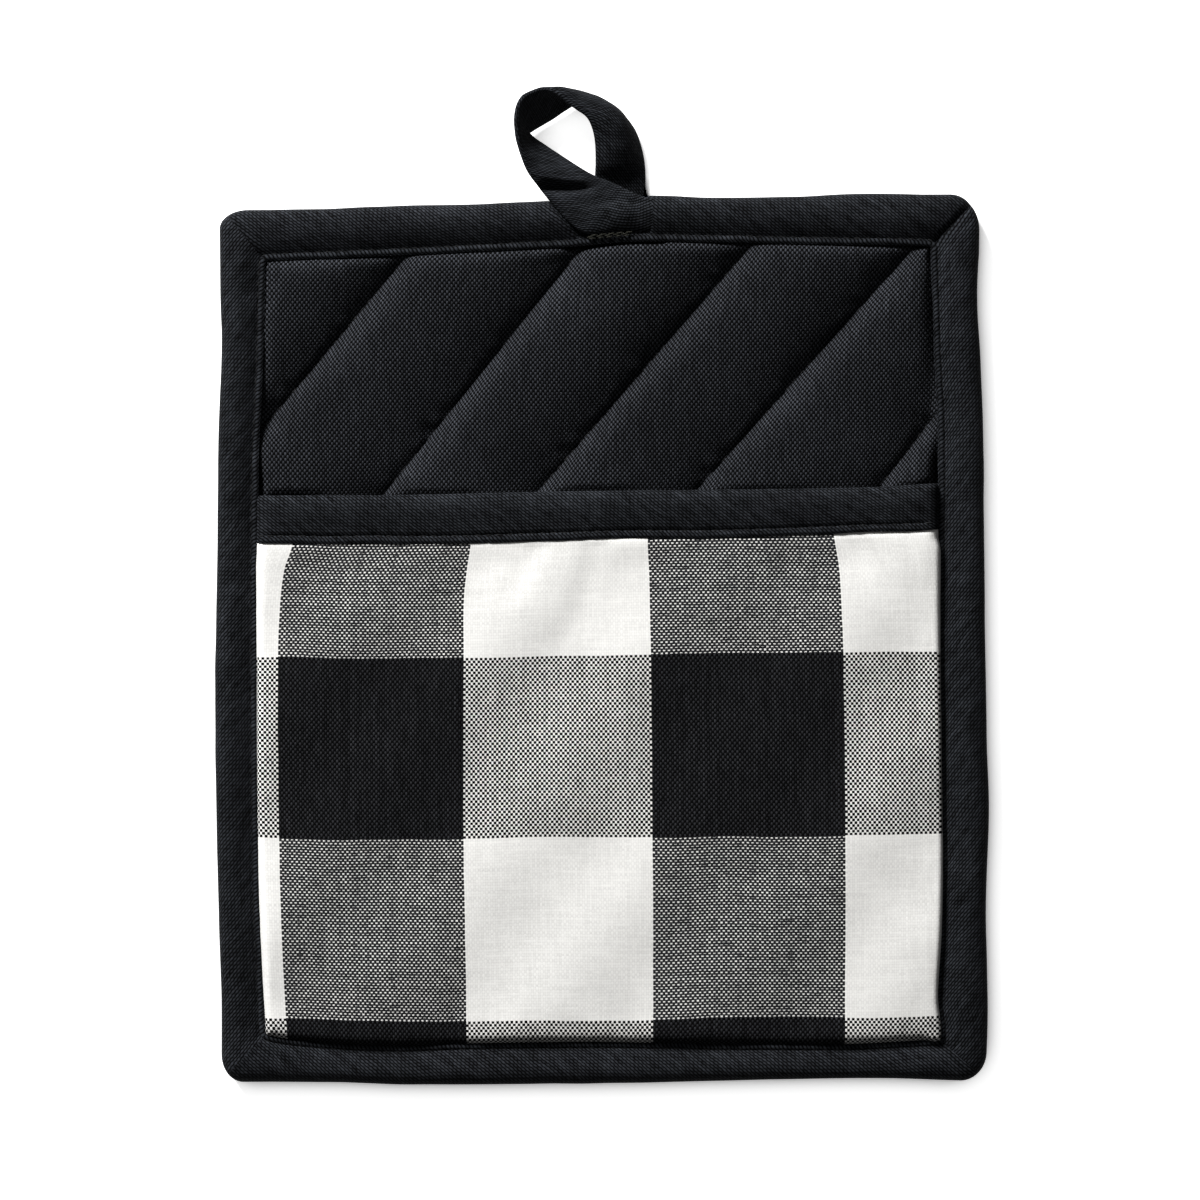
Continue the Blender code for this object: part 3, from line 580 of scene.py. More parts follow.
def padForms(x, y, toLeft, toRight):
    # Puckers and creases beside the seams, broad swellings, and puckers round the edge
    p = padPiece
    near = np.minimum(toLeft, toRight)
    signed = np.where(toLeft < toRight, toLeft, -toRight)
    along = y * 1.3 + x * 0.2
    pucker = ripple(along / 1.9 + signed / 2.5, np.sign(signed) * 9 + near / 6, p["puckerSeed"])
    pucker = pucker * np.exp(-((near - p["puckerAt"]) / p["puckerHalf"]) ** 2)
    crease = ripple(along / 7.5 + signed / 11, near / 9, p["creaseSeed"])
    crease = crease * smooth(0.3, 2.5, near) * np.exp(-near / p["creaseReach"])
    swell = ripple(x / 17, y / 14, p["swellSeed"])
    forms = p["puckerDepth"] * pucker + p["creaseDepth"] * crease + p["swellDepth"] * swell
    left, right, foot, head = edgeDistances(outerEdge, x, y)
    along = np.where(np.minimum(left, right) < np.minimum(foot, head), y, x)
    edge = frameDepth(x, y)
    atEdge = ripple(along / 3.4, edge / 4, p["edgeSeed"]) * np.exp(-edge / p["edgeReach"])
    return forms + p["edgeDepth"] * atEdge


def makePad():
    p, q = padPiece, quilting
    # Rows run across; columns run along the seams, closer together beside them
    low = np.arange(*p["lowRows"])
    midEnd, midStep = p["midRows"]
    rows = np.concatenate([low, np.arange(low[-1] + midStep, midEnd, midStep),
                           np.arange(*p["topRows"]), np.arange(*p["hiddenRows"])])
    lines = np.array([seamLine(seam, rows)[0] for seam in q["seams"]])
    shares = np.arange(p["columnsToChannel"]) / p["columnsToChannel"]
    shares = shares - p["crowding"] * np.sin(2 * math.pi * shares)
    x = np.stack([blend(lines[k], lines[k + 1], t)
                  for k in range(len(lines) - 1) for t in shares], 1)
    y = np.repeat(rows[:, None], x.shape[1], 1)
    left, right, foot, head = edgeDistances(outerEdge, x, y)
    side, end = np.minimum(left, right), np.minimum(foot, head)
    inside = (side > p["inset"]) & (end > p["inset"]) & (side + end > p["cornerCut"])
    toLeft, toRight = seamSpan(x, y)
    uncovered = smooth(1.0, 5.0, frameDepth(x, y)) * smooth(0.5, -3.0, belowMouth(x, y))
    top = padTop(x, y) + uncovered * padForms(x, y, toLeft, toRight)
    under = padLow(x, y)

    # Where the cloth goes up and down, more of it is used than its width seen from above
    steps = np.linspace(0, 1, 200)
    rise = channelRise(steps) * (q["crown"] - q["seamHeight"])
    full = p["channelWidth"]
    run = running(np.hypot(np.diff(steps) * full, np.diff(rise)))
    extra = np.interp(toLeft / (toLeft + toRight), steps, run - steps * full - (run[-1] - full) / 2)
    uv = np.stack([x + extra * p["acrossSeams"][0], y + extra * p["acrossSeams"][1]], -1)

    # The front and the back, with walls between them round the rim
    keep = inside[:-1, :-1] & inside[:-1, 1:] & inside[1:, 1:] & inside[1:, :-1]
    cells = gridFaces(*x.shape)[keep.ravel()]
    corner = quadCorners(uv).reshape(-1, 4, 2)[keep.ravel()]
    count = x.size
    edges = np.concatenate([cells[:, [k, (k + 1) % 4]] for k in range(4)])
    seen = {tuple(e) for e in edges.tolist()}
    rim = [(a, b) for a, b in edges.tolist() if (b, a) not in seen]
    walls = [(b, a, a + count, b + count) for a, b in rim]
    flat = np.stack([x, y], -1).reshape(-1, 2)
    wallPlaces = [[flat[b], flat[a], flat[a], flat[b]] for a, b in rim]
    faces = cells.tolist() + (cells[:, ::-1] + count).tolist() + walls
    uvQuads = np.concatenate([corner, corner[:, ::-1], np.array(wallPlaces)])
    used = np.unique(np.array(faces))
    number = np.full(2 * count, -1)
    number[used] = np.arange(len(used))
    points = np.concatenate([np.stack([x, y, top], -1), np.stack([x, y, under], -1)])
    return finishMesh("quiltedPad", points.reshape(-1, 3)[used], number[np.array(faces)].tolist(),
                      uvQuads, padCotton)


quiltedPad = makePad()
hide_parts("quilted_pad")
print("pad made", len(quiltedPad.data.polygons))


# Where the check's bands meet, in the way the cloth lies: height, then x of four lines
bandLines = ((14, -81.2, -34.4, 12.1, 61.2), (9, -82.3, -35.0, 12.2, 62.0),
             (4, -84.1, -35.8, 12.5, 62.8), (-4, -85.2, -36.6, 12.7, 63.4),
             (-19, -85.8, -36.7, 13.0, 63.9), (-60, -85.7, -36.8, 13.4, 64.5),
             (-100, -84.6, -36.2, 13.6, 64.5), (-125, -83.1, -35.9, 13.6, 64.4))
# Heights of the three lines between the check's rows, across the pocket
bandRows = ((-92, -19.5, -67.2, -115.3), (-80, -19.5, -67.6, -115.4),
            (-69, -19.9, -67.8, -115.8), (-54, -19.9, -67.6, -116.1),
            (-43, -19.75, -67.7, -116.2), (-30, -19.6, -67.5, -116.0),
            (-16, -19.2, -67.1, -115.8), (0, -19.0, -67.2, -115.9), (18, -18.7, -67.2, -115.6),
            (31, -18.5, -66.8, -115.1), (47, -18.4, -67.0, -114.9), (58, -18.3, -66.9, -115.0),
            (68, -18.1, -66.6, -115.1), (79, -18.0, -66.5, -114.9), (92, -18.0, -66.2, -114.4))


def clothPlace(x, y):
    # The place in the flat check cloth that lies at a place of the pocket
    lines = np.stack([curveAt(bandLines[::-1], y, k + 1) for k in range(4)])
    bandWidth = checkWeave["bandWidth"]
    stops = np.stack([lines[0] - bandWidth, *lines, lines[3] + bandWidth])
    u = np.zeros(np.shape(x))
    for k in range(5):
        share = (x - stops[k]) / (stops[k + 1] - stops[k])
        low = share >= 0 if k else np.ones(np.shape(x), bool)
        u = np.where(low, (k - 1 + share) * bandWidth, u)
    first, second, third = (curveAt(bandRows, x, k) for k in (1, 2, 3))
    bandHeight = checkWeave["bandHeight"]
    v = np.where(y > second, (y - first) / (first - second),
                 (y - second) / (second - third) - 1)
    v = np.where(y > first, y - first, v * bandHeight)
    return np.stack([u, v], -1)


def acrossPocket(y, count, crowding=0.0):
    # Places from under the left binding to under the right one, for a column of heights
    left = curveAt(innerEdge["left"], y) - pocketPiece["underEdge"]
    right = curveAt(innerEdge["right"], y) + pocketPiece["underEdge"]
    t = np.linspace(0, 1, count)
    t = t - crowding * np.sin(2 * math.pi * t)
    return left + (right - left) * t


# Gathers along the foot, the sides and the strip, and broad waves: depth, distance from one to
# the next, length, how far in they fade, seed
wrinkles = {
    "foot": (0.42, 4.6, 16, 6, 21), "side": (0.16, 5.0, 14, 6, 22),
    "strip": (0.14, 5.0, 22, 9, 23), "broad": (0.2, 13, 26, 1, 24),
}


def pocketWrinkles(x, y):
    def gathers(name, along, away, lean=0.0, past=0.0):
        depth, apart, length, reach, seed = wrinkles[name]
        return (depth * ripple(along / apart + lean, away / length, seed)
                * np.exp(-np.maximum(past, 0) / reach))

    v = belowMouth(x, y)
    depth = frameDepth(x, y)
    left, right, foot, _ = edgeDistances(innerEdge, x, y)
    side = np.minimum(left, right)
    folds = (gathers("foot", x, foot, foot / 30, foot) + gathers("side", y, side, side / 30, side)
             + gathers("strip", x + 0.4 * y, v, past=v - pocketPiece["mouthDepth"])
             + gathers("broad", x + y * 0.9, y - x * 0.4))
    # The cloth stands up a little below the strip
    below = 0.5 * smooth(11.0, 13.4, v) * (1 - smooth(16.0, 70.0, v)) * smooth(-0.5, 1.2, depth)
    return smooth(11.5, 15.0, v) * smooth(0.5, 4.0, depth) * folds + below


def makePocket():
    p = pocketPiece
    t = np.linspace(0, 1, p["rows"])
    y = blend(p["mouthHeight"] - p["underMouth"], p["footHeight"] - p["underFoot"],
              t - p["crowdRows"] * np.sin(2 * math.pi * t))
    x = acrossPocket(y[:, None], p["columns"], p["crowdColumns"])
    y = np.repeat(y[:, None], x.shape[1], 1)
    # The upper and lower edges follow the mouth and the foot
    high = curveAt(pocketEdge, x) - p["underMouth"]
    low = curveAt(innerEdge["bottom"], x) - p["underFoot"]
    y = low + (high - low) * (y - y.min()) / (y.max() - y.min())
    z = pocketUnderside(x, y) + p["cloth"] / 2 + pocketWrinkles(x, y)
    # On the steep slopes at the foot and the sides more cloth is used than is seen from above
    place = clothPlace(x, y)
    atLeft, atRight, atFoot = (smooth(4.0, 2.0, d) for d in edgeDistances(innerEdge, x, y)[:3])
    drop = np.hypot(np.diff(y, axis=0), np.diff(z, axis=0)) + np.diff(y, axis=0)
    place[1:, :, 1] -= np.cumsum(drop * atFoot[1:], 0)
    slope = np.hypot(np.diff(x, axis=1), np.diff(z, axis=1)) - np.diff(x, axis=1)
    place[:, :-1, 0] -= np.cumsum((slope * atLeft[:, :-1])[:, ::-1], 1)[:, ::-1]
    place[:, 1:, 0] += np.cumsum(slope * atRight[:, 1:], 1)
    return clothSheet("checkPocket", np.stack([x, y, z], -1), quadCorners(place),
                      p["cloth"], checkCotton, flip=True)


checkPocket = makePocket()
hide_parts("pocket_panel")
print("pocket made", len(checkPocket.data.polygons))


# Strip over the pocket's edge: its steps up the front and down the back, its fold, the line of
# stitches, the lip below it, and how the strip puffs up above it
mouthStrip = {
    "cloth": 0.8, "columns": 240, "overPocket": 0.06, "foldDepth": 1.6, "foldOut": 1.15,
    "frontSteps": (0, 0.15, 0.4, 0.8, 1.2, 1.6, 1.9, 2.1, 2.4, 2.9, 3.5, 4.3, 5.3, 6.4, 7.6, 8.7,
                   9.8, 10.7),
    "backSteps": (2.6, 4.0, 6.0, 8.0, 10.0), "stitchUp": 2.0, "stitchDip": 0.42,
    "stitchHalf": 0.42, "lipPuff": 0.12, "lipTurn": 0.15, "puff": 1.0, "puffOver": 7.0,
    "puffPower": 1.6, "puffEnd": (13.4, 8.8), "wave": 0.14, "edgeSway": 0.22,
    "pullSeed": 31, "swaySeed": 32, "edgeSeed": 33,
}
# How much higher its lower edge lies than it would on a strip of even width
mouthNarrow = ((-92, 0.3), (-80, 0.3), (-72, 0.1), (-60, 0.25), (-51, 0.0), (-40, -0.25),
               (-22, -0.1), (-11, 0.05), (0, 0.3), (10, 0.45), (18, 0.3), (34, 0.25), (50, 0.7),
               (60, 1.0), (68, 1.2), (80, 0.95), (92, 0.4))


def makeMouthStrip():
    m, p = mouthStrip, pocketPiece
    half = m["cloth"] / 2
    front = p["cloth"] + m["overPocket"] + half
    back = -p["mouthGap"] - half
    # Up the front from its lower edge, over the fold, and down the back; share is 1 in front
    angle = np.linspace(0, math.pi, 9)
    depth = np.concatenate([p["mouthDepth"] - np.array(m["frontSteps"]),
                            m["foldDepth"] - m["foldOut"] * np.sin(angle),
                            m["backSteps"], [p["mouthBackDepth"]]])
    share = np.concatenate([np.ones(len(m["frontSteps"])), 0.5 + 0.5 * np.cos(angle),
                            np.zeros(len(m["backSteps"]) + 1)])
    onFront = share > 0.99
    up = p["mouthDepth"] - depth
    puff = np.clip((up - m["stitchUp"]) / m["puffOver"], 0, 1)
    puff = m["puff"] * (1 - (1 - puff) ** m["puffPower"]) * smooth(*m["puffEnd"], up)
    lip = m["lipPuff"] * np.sin(np.clip(up / m["stitchUp"], 0, 1) * math.pi)
    lip = lip - m["lipTurn"] * smooth(0.5, 0.0, up)
    dip = m["stitchDip"] * np.exp(-((up - m["stitchUp"]) / m["stitchHalf"]) ** 2)
    section = np.where(onFront, puff + lip - dip, 0.0)[:, None]

    x = np.zeros((len(depth), 1))
    for _ in range(4):
        x = acrossPocket(curveAt(pocketEdge, x) - depth[:, None], m["columns"])
    narrower = curveAt(mouthNarrow, x) / p["mouthDepth"] * share[:, None]
    y = curveAt(pocketEdge, x) - depth[:, None] * (1 - narrower)
    free = smooth(0.7, 6.0, frameDepth(x, y))
    z = pocketUnderside(x, y) + blend(back, front, share)[:, None] + section * free
    rise = up[:, None]
    pull = ripple((x - rise * 0.6) / 1.7, rise / 6, m["pullSeed"])
    pull = pull * np.exp(-np.abs(rise - m["stitchUp"]) / 2.6)
    sway = ripple(x / 13, rise / 9 + 3, m["swaySeed"])
    z = z + np.where(onFront[:, None], m["wave"] * (pull + 0.8 * sway) * free, 0)
    atEdge = np.where(onFront, smooth(3, 0, up), 0)[:, None]
    y = y + m["edgeSway"] * ripple(x / 9, 0.5, m["edgeSeed"]) * atEdge
    length = running(np.hypot(np.diff(depth), np.diff(share) * (front - back)))
    uv = np.stack([x, np.broadcast_to(length[:, None], x.shape)], -1)
    points = np.stack([x, y, z], -1)
    strip = clothSheet("pocketStrip", points, quadCorners(uv), m["cloth"], stripCotton)
    groove = int(np.argmin(np.abs(up - m["stitchUp"]) + (~onFront) * 99))
    path = points[groove] + (0, 0, half)
    return strip, path[frameDepth(path[:, 0], path[:, 1]) > -0.5]


pocketStrip, pocketStitchPath = makeMouthStrip()
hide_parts("pocket_binding")
print("pocket strip made", len(pocketStrip.data.polygons))


# Strip round the edge. Its section runs from the front's inner edge over the fold to the back's
# inner edge: "Into" is from an inner edge, and the folds' first number is from the outline
edgeStrip = {
    "cloth": 1.2, "step": 0.8, "cornerSteps": 16, "innerRadius": 1.0,
    "frontInto": (0, 0.15, 0.35, 0.6, 0.9, 1.15, 1.4, 1.6, 1.8, 2.1, 2.6, 3.3, 4.3),
    "overFold": (3.6, 2.8, 2.1, 1.5, 1.1, 0.85, 0.7),
    "underFold": ((0.6, 4.2), (0.62, 3.4), (0.72, 2.6), (0.95, 1.8), (1.4, 1.15), (2.0, 0.75),
                  (2.9, 0.6), (4.2, 0.6)),
    "backInto": (5.0, 4.0, 2.8, 2.2, 1.6, 1.0, 0.0),
    "backGroove": (0, 0, 0, 0.15, 0.3, 0.15, 0), "backStitchRow": 4,
    "stitchIn": 1.6, "lipHeight": 6.12, "lipPuff": 0.08, "lipTurn": 0.25, "grooveHeight": 5.72,
    "topHeight": 8.1, "puffTo": 8.4, "puffPower": 1.9, "legLow": 0.6,
    "frontFrom": 1.8, "frontOver": 4.55, "tuckDrop": 2.2, "tailLift": 2.1,
    "pull": 0.16, "drag": 0.14, "sway": 0.2, "innerSway": 0.15, "outerSway": 0.1,
    "pullSeed": 41, "dragSeed": 42, "swaySeed": 43, "innerSeed": 44, "outerSeed": 45,
}
# How far the strip has turned down, at each distance from its outer edge
edgeRounding = ((0.6, 4.0), (0.75, 2.6), (1.0, 1.85), (1.45, 1.2), (2.1, 0.65), (2.9, 0.3),
                (3.9, 0.1), (5.2, 0.02), (6.5, 0.0))
# The way that each side runs, going round
sideRuns = {"left": (0, 1), "top": (1, 0), "right": (0, -1), "bottom": (-1, 0)}


def stripHeight(into, reach):
    # Middle of the strip's cloth on the front, from its distances to both its edges
    e = edgeStrip
    crest = e["lipHeight"] + e["lipPuff"] * np.sin(np.clip(into / e["stitchIn"], 0, 1) * math.pi)
    crest = crest - e["lipTurn"] * smooth(0.6, 0, into)
    lip = blend(crest, e["grooveHeight"], smooth(0.9, e["stitchIn"], into))
    puff = np.clip((into - e["stitchIn"]) / (e["puffTo"] - e["stitchIn"]), 0, 1)
    puffed = blend(e["grooveHeight"], e["topHeight"], 1 - (1 - puff) ** e["puffPower"])
    rounding = np.array(edgeRounding)
    turned = np.interp(reach, rounding[:, 0], rounding[:, 1])
    return np.where(into < e["stitchIn"], lip, puffed) - turned


def walkEdge():
    # Once round: pairs of points on the outline and the inner edge, and the side of each pair
    e = edgeStrip
    outer, inner, sideOf = [], [], []
    for number, (first, second, wide, high, *_) in enumerate(corners):
        before = corners[number - 1]
        axis = 0 if first in ("top", "bottom") else 1
        start = cornerAt(innerEdge, before[0], before[1])[axis]
        end = cornerAt(innerEdge, first, second)[axis]
        clear = math.copysign(2 * e["innerRadius"], end - start)
        count = max(round(abs(end - start - 2 * clear) / e["step"]), 1)
        for place in np.linspace(start + clear, end - clear, count + 1):
            for edges, points in ((outerEdge, outer), (innerEdge, inner)):
                across = float(curveAt(edges[first], place))
                points.append((place, across) if axis == 0 else (across, place))
            sideOf.append(number)
        leave, enter = np.array(sideRuns[first]), np.array(sideRuns[second])
        for step in range(e["cornerSteps"] + 1):
            angle = math.pi / 2 * step / e["cornerSteps"]
            arc = leave * (math.sin(angle) - 1) + enter * (1 - math.cos(angle))
            for edges, points, radii in ((outerEdge, outer, (wide, high)),
                                         (innerEdge, inner, (e["innerRadius"],) * 2)):
                points.append(np.array(cornerAt(edges, first, second)) + arc * radii)
            sideOf.append(number if step < e["cornerSteps"] / 2 else (number + 1) % 4)
    return np.array(outer), np.array(inner), np.array(sideOf)


def makeEdgeStrip():
    e = edgeStrip
    outer, inner, sideOf = walkEdge()
    width = np.hypot(*(inner - outer).T)
    count = len(width)
    into, overFold, underFold, backInto, backGroove = (
        np.array(e[k]) for k in ("frontInto", "overFold", "underFold", "backInto", "backGroove"))
    between = np.array([0.25, 0.5, 0.75])[:, None]
    reach = np.concatenate([width - into[:, None],
                            blend(width - into[-1], overFold[0], between),
                            np.repeat(overFold[:, None], count, 1),
                            np.repeat(underFold[:, :1], count, 1),
                            width - backInto[:, None]])
    front = reach[:len(into) + len(between) + len(overFold)]
    z = np.concatenate([stripHeight(width - front, front),
                        np.repeat(underFold[:, 1:], count, 1),
                        np.repeat(e["legLow"] + backGroove[:, None], count, 1)])
    inward = (inner - outer) / width[:, None]
    x = outer[:, 0] + inward[:, 0] * reach
    y = outer[:, 1] + inward[:, 1] * reach
    depth = width - reach
    front = np.clip((z - e["frontFrom"]) / e["frontOver"], 0, 1)
    covered = tuck(x, y) * smooth(1.6, 2.3, depth)
    z = z - front * e["tuckDrop"] * covered + (1 - front) * e["tailLift"] * tail(x, y)
    for away, along, wide, sharp in mitreAway(x, y):
        z = z - front * wide * (1 - smooth(1.5, 6.0, away)) * smooth(-0.05, 0.2, along)
        z = z - front * sharp * np.clip(1 - away / 1.7, 0, 1) ** 1.5 * smooth(0.0, 0.12, along)

    # Small pulls along the stitches, and a slow unevenness of the whole strip
    travel = running(np.hypot(*np.diff((outer + inner) / 2, axis=0).T))
    pull = ripple(travel / 1.5 + depth / 4, depth / 5, e["pullSeed"])
    pull = pull * np.exp(-np.abs(depth - e["stitchIn"]) / 1.8)
    drag = ripple((travel + depth) / 5.0, depth / 7, e["dragSeed"])
    sway = ripple(travel / 21, depth / 12, e["swaySeed"])
    uneven = e["pull"] * pull + e["drag"] * drag + e["sway"] * sway
    z = z + front * smooth(0.8, 3.5, reach) * uneven
    onFront = (np.arange(len(z)) < len(into))[:, None]
    shift = np.where(onFront, smooth(3.0, 0.0, depth) * e["innerSway"], 0)
    shift = shift * ripple(travel / 6, 0.5, e["innerSeed"])
    out = e["outerSway"] * ripple(travel / 8, 0.5, e["outerSeed"]) * (1 - smooth(1.0, 5.0, reach))
    x, y = (flat + inward[:, k] * (shift + out) for k, flat in enumerate((x, y)))

    # Each side's strip keeps its own slant up to the mitre, where the next one's starts
    length = np.zeros(reach.shape)
    length[1:] = np.cumsum(np.hypot(np.diff(reach, axis=0), np.diff(z, axis=0)), 0)
    uvQuads = np.zeros((len(z) - 1, count, 4, 2))
    for number, (first, *_) in enumerate(corners):
        runX, runY = sideRuns[first]
        square = inward @ (runY, -runX)
        places = quadCorners(np.stack([x * runX + y * runY, length * square], -1), ring=True)
        uvQuads[:, sideOf == number] = places[:, sideOf == number]
    points = np.stack([x, y, z], -1)
    strip = clothSheet("edgeBinding", points, uvQuads, e["cloth"], stripCotton,
                       ring=True)
    over = np.array((0, 0, e["cloth"] / 2))
    frontRow = int(np.argmin(np.abs(into - e["stitchIn"])))
    backRow = len(z) - len(backInto) + e["backStitchRow"]
    return strip, points[frontRow] + over, points[backRow] - over


edgeBinding, edgeStitchPath, edgeBackPath = makeEdgeStrip()
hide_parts("edge_binding")
print("edge binding made", len(edgeBinding.data.polygons))


# Hanging loop: its strip, the end that settles on the edge binding, its wrinkles, and the dent
# pressed across it where it leaves the edge
hangLoop = {
    "cloth": 1.8, "steps": 8, "across": 26, "roundEdge": 9, "over": 0.14, "sink": 0.98,
    "sinkFrom": (12.6, 16.8), "wrinkle": 0.25, "crease": 0.16, "wrinkleSeed": 51,
    "creaseSeed": 52, "dentAt": (-9.6, 105.1), "dentDepth": 3.2, "dentHalf": 1.15,
    "dentNarrows": 0.03, "dentTurn": 0.05, "dentEnds": ((-7.6, -4.8), (9.5, 1.0)),
    "clothFrom": (17.0, 2.2), "clothPull": (1.2, 1.12),
}
# One row for each turn of the strip: the edge that stands high, the other edge, belly
loopRows = (
    (17.0, 93.6, 7.5, 17.0, 101.6, 7.5, 0.0),
    (11.4, 93.4, 7.5, 11.4, 102.6, 7.5, 0.0),
    (3.2, 92.8, 7.5, 8.0, 104.0, 7.5, 0.0),
    (-4.2, 92.9, 7.55, 4.8, 105.6, 7.5, 0.0),
    (-8.2, 95.4, 7.6, 1.6, 107.0, 7.5, 0.0),
    (-11.1, 98.3, 7.65, -0.6, 107.8, 7.4, 0.0),
    (-14.1, 101.8, 7.8, -3.2, 109.0, 7.0, 0.0),
    (-17.0, 105.4, 8.8, -6.6, 111.1, 6.0, 0.0),
    (-19.8, 109.3, 10.0, -10.6, 113.7, 4.8, 0.2),
    (-21.5, 113.9, 11.1, -14.9, 116.5, 3.3, 0.3),
    (-22.5, 118.6, 11.8, -18.2, 118.7, 1.8, 0.3),
    (-22.8, 122.6, 12.0, -19.6, 120.1, 1.0, 0.2),
    (-22.4, 126.3, 11.8, -18.6, 121.0, 0.8, 0.3),
    (-21.1, 128.9, 11.3, -16.4, 122.3, 0.8, 0.5),
    (-18.8, 130.2, 11.1, -13.3, 124.1, 0.8, 0.8),
    (-16.2, 130.9, 11.5, -9.8, 126.5, 0.8, 1.1),
    (-13.8, 130.6, 11.7, -6.2, 128.6, 0.8, 1.3),
    (-11.7, 129.3, 11.7, -3.2, 129.3, 0.8, 1.4),
    (-9.5, 127.4, 11.1, 0.0, 128.4, 0.9, 2.2),
    (-6.9, 125.7, 10.5, 3.0, 126.6, 0.9, 2.8),
    (-4.0, 123.6, 9.9, 6.2, 124.0, 0.9, 3.1),
    (-2.5, 120.6, 8.6, 8.8, 120.9, 0.9, 3.2),
    (-1.8, 116.9, 7.0, 10.4, 116.9, 0.9, 3.0),
    (-1.7, 112.4, 5.0, 11.3, 112.9, 0.9, 2.3),
    (-1.9, 108.3, 2.8, 11.6, 108.8, 0.9, 0.3),
    (-2.1, 104.5, 1.2, 11.4, 104.6, 0.9, 0.0),
    (-2.1, 100.2, 0.9, 11.2, 100.4, 0.9, 0.0),
    (-2.1, 96.5, 0.9, 11.0, 96.7, 0.9, 0.0),
)


def makeLoop():
    h = hangLoop
    table = [(i, *row) for i, row in enumerate(loopRows)]
    last = len(loopRows) - 1
    stations = np.linspace(0, last, last * h["steps"] + 1)
    high, low = (np.stack([curveAt(table, stations, k) for k in columns], -1)
                 for columns in ((1, 2, 3), (4, 5, 6)))
    belly = curveAt(table, stations, 7)[:, None]
    centre = (high + low) / 2
    out = unit(np.cross(low - high, np.gradient(centre, axis=0)))[:, None]
    share = 0.5 - 0.5 * np.cos(np.linspace(0, math.pi, h["across"]))
    half = h["cloth"] / 2 * (1 - np.abs(2 * share - 1) ** h["roundEdge"]) ** 0.5
    middle = high[:, None] + (low - high)[:, None] * share[None, :, None]
    middle = middle - out * (belly * 4 * share * (1 - share))[..., None]
    length = running(np.linalg.norm(np.diff(centre, axis=0), axis=1))[:, None]
    width = np.linalg.norm(low - high, axis=1)[:, None]
    # Its front end takes the shape of the edge strip, and sinks into it at the very end
    x, y = middle[..., 0], middle[..., 1]
    onStrip = stripHeight(y - curveAt(innerEdge["top"], x),
                          np.maximum(curveAt(outerEdge["top"], x) - y, 2.0))
    onStrip = onStrip + (edgeStrip["cloth"] - h["cloth"]) / 2 + h["over"]
    onStrip = onStrip - h["sink"] * smooth(*h["sinkFrom"], x)
    settled = smooth(-7, 3, x) * smooth(50, 40, length)
    middle[..., 2] = blend(middle[..., 2], onStrip, settled)
    uneven = (h["wrinkle"] * ripple(length / 6.0, share * 2.2, h["wrinkleSeed"])
              + h["crease"] * ripple(length / 2.5, share * 5, h["creaseSeed"]))
    uneven = uneven * smooth(0.0, 0.12, share) * smooth(1.0, 0.88, share) * smooth(4, 9, length)
    middle = middle - out * uneven[..., None]
    dx, dy = middle[..., 0] - h["dentAt"][0], middle[..., 1] - h["dentAt"][1]
    away = (dy + h["dentTurn"] * dx) / (h["dentHalf"] - h["dentNarrows"] * dx)
    start, end = (smooth(*limits, dx) for limits in h["dentEnds"])
    middle[..., 2] -= h["dentDepth"] * np.exp(-away ** 2) * start * end * smooth(60, 45, length)

    # A closed skin round it, with the cloth's place on the outside and the inside
    offset = out * half[None, :, None]
    skin = np.concatenate([middle - offset, (middle + offset)[:, -2:0:-1]], 1)
    (startX, startY), (pullX, pullY) = h["clothFrom"], h["clothPull"]
    place = np.stack([startX - pullX * length + 0 * share, startY + pullY * share * width], -1)
    inside = place[:, -2:0:-1] * (1, -1) + np.stack([0 * width, 2 * width + 2 * startY], -1)
    rows, columns = skin.shape[:2]
    faces = gridFaces(rows, columns, ring=True).tolist()
    quads = quadCorners(np.concatenate([place, inside], 1), ring=True)
    quads[:, -1, 1:3, 1] = quads[:, -1, [0, 3], 1] + 0.6
    points = skin.reshape(-1, 3)
    uvs = quads.reshape(-1, 2).tolist()
    for start in (0, (rows - 1) * columns):
        ring = list(range(start, start + columns))
        for k in range(h["across"] - 1):
            a, b, c, d = ring[k], ring[k + 1], ring[-k - 1], ring[-k]
            cell = list(dict.fromkeys([a, d, c, b] if start == 0 else [a, b, c, d]))
            if len(cell) > 2:
                faces.append(cell)
                uvs += [tuple(points[i][:2]) for i in cell]
    return finishMesh("hangingLoop", points, faces, uvs, stripCotton)


hangingLoop = makeLoop()
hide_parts("hang_loop")
print("loop made", len(hangingLoop.data.polygons))


# Stitches: length from hole to hole, gap at a hole, and the thread's radius and mesh
stitching = {"length": 2.9, "gap": 0.55, "radius": 0.17, "sides": 6, "stations": 7,
             "uneven": (0.92, 1.06), "rise": 0.75, "dive": 2.2, "taper": 0.35}


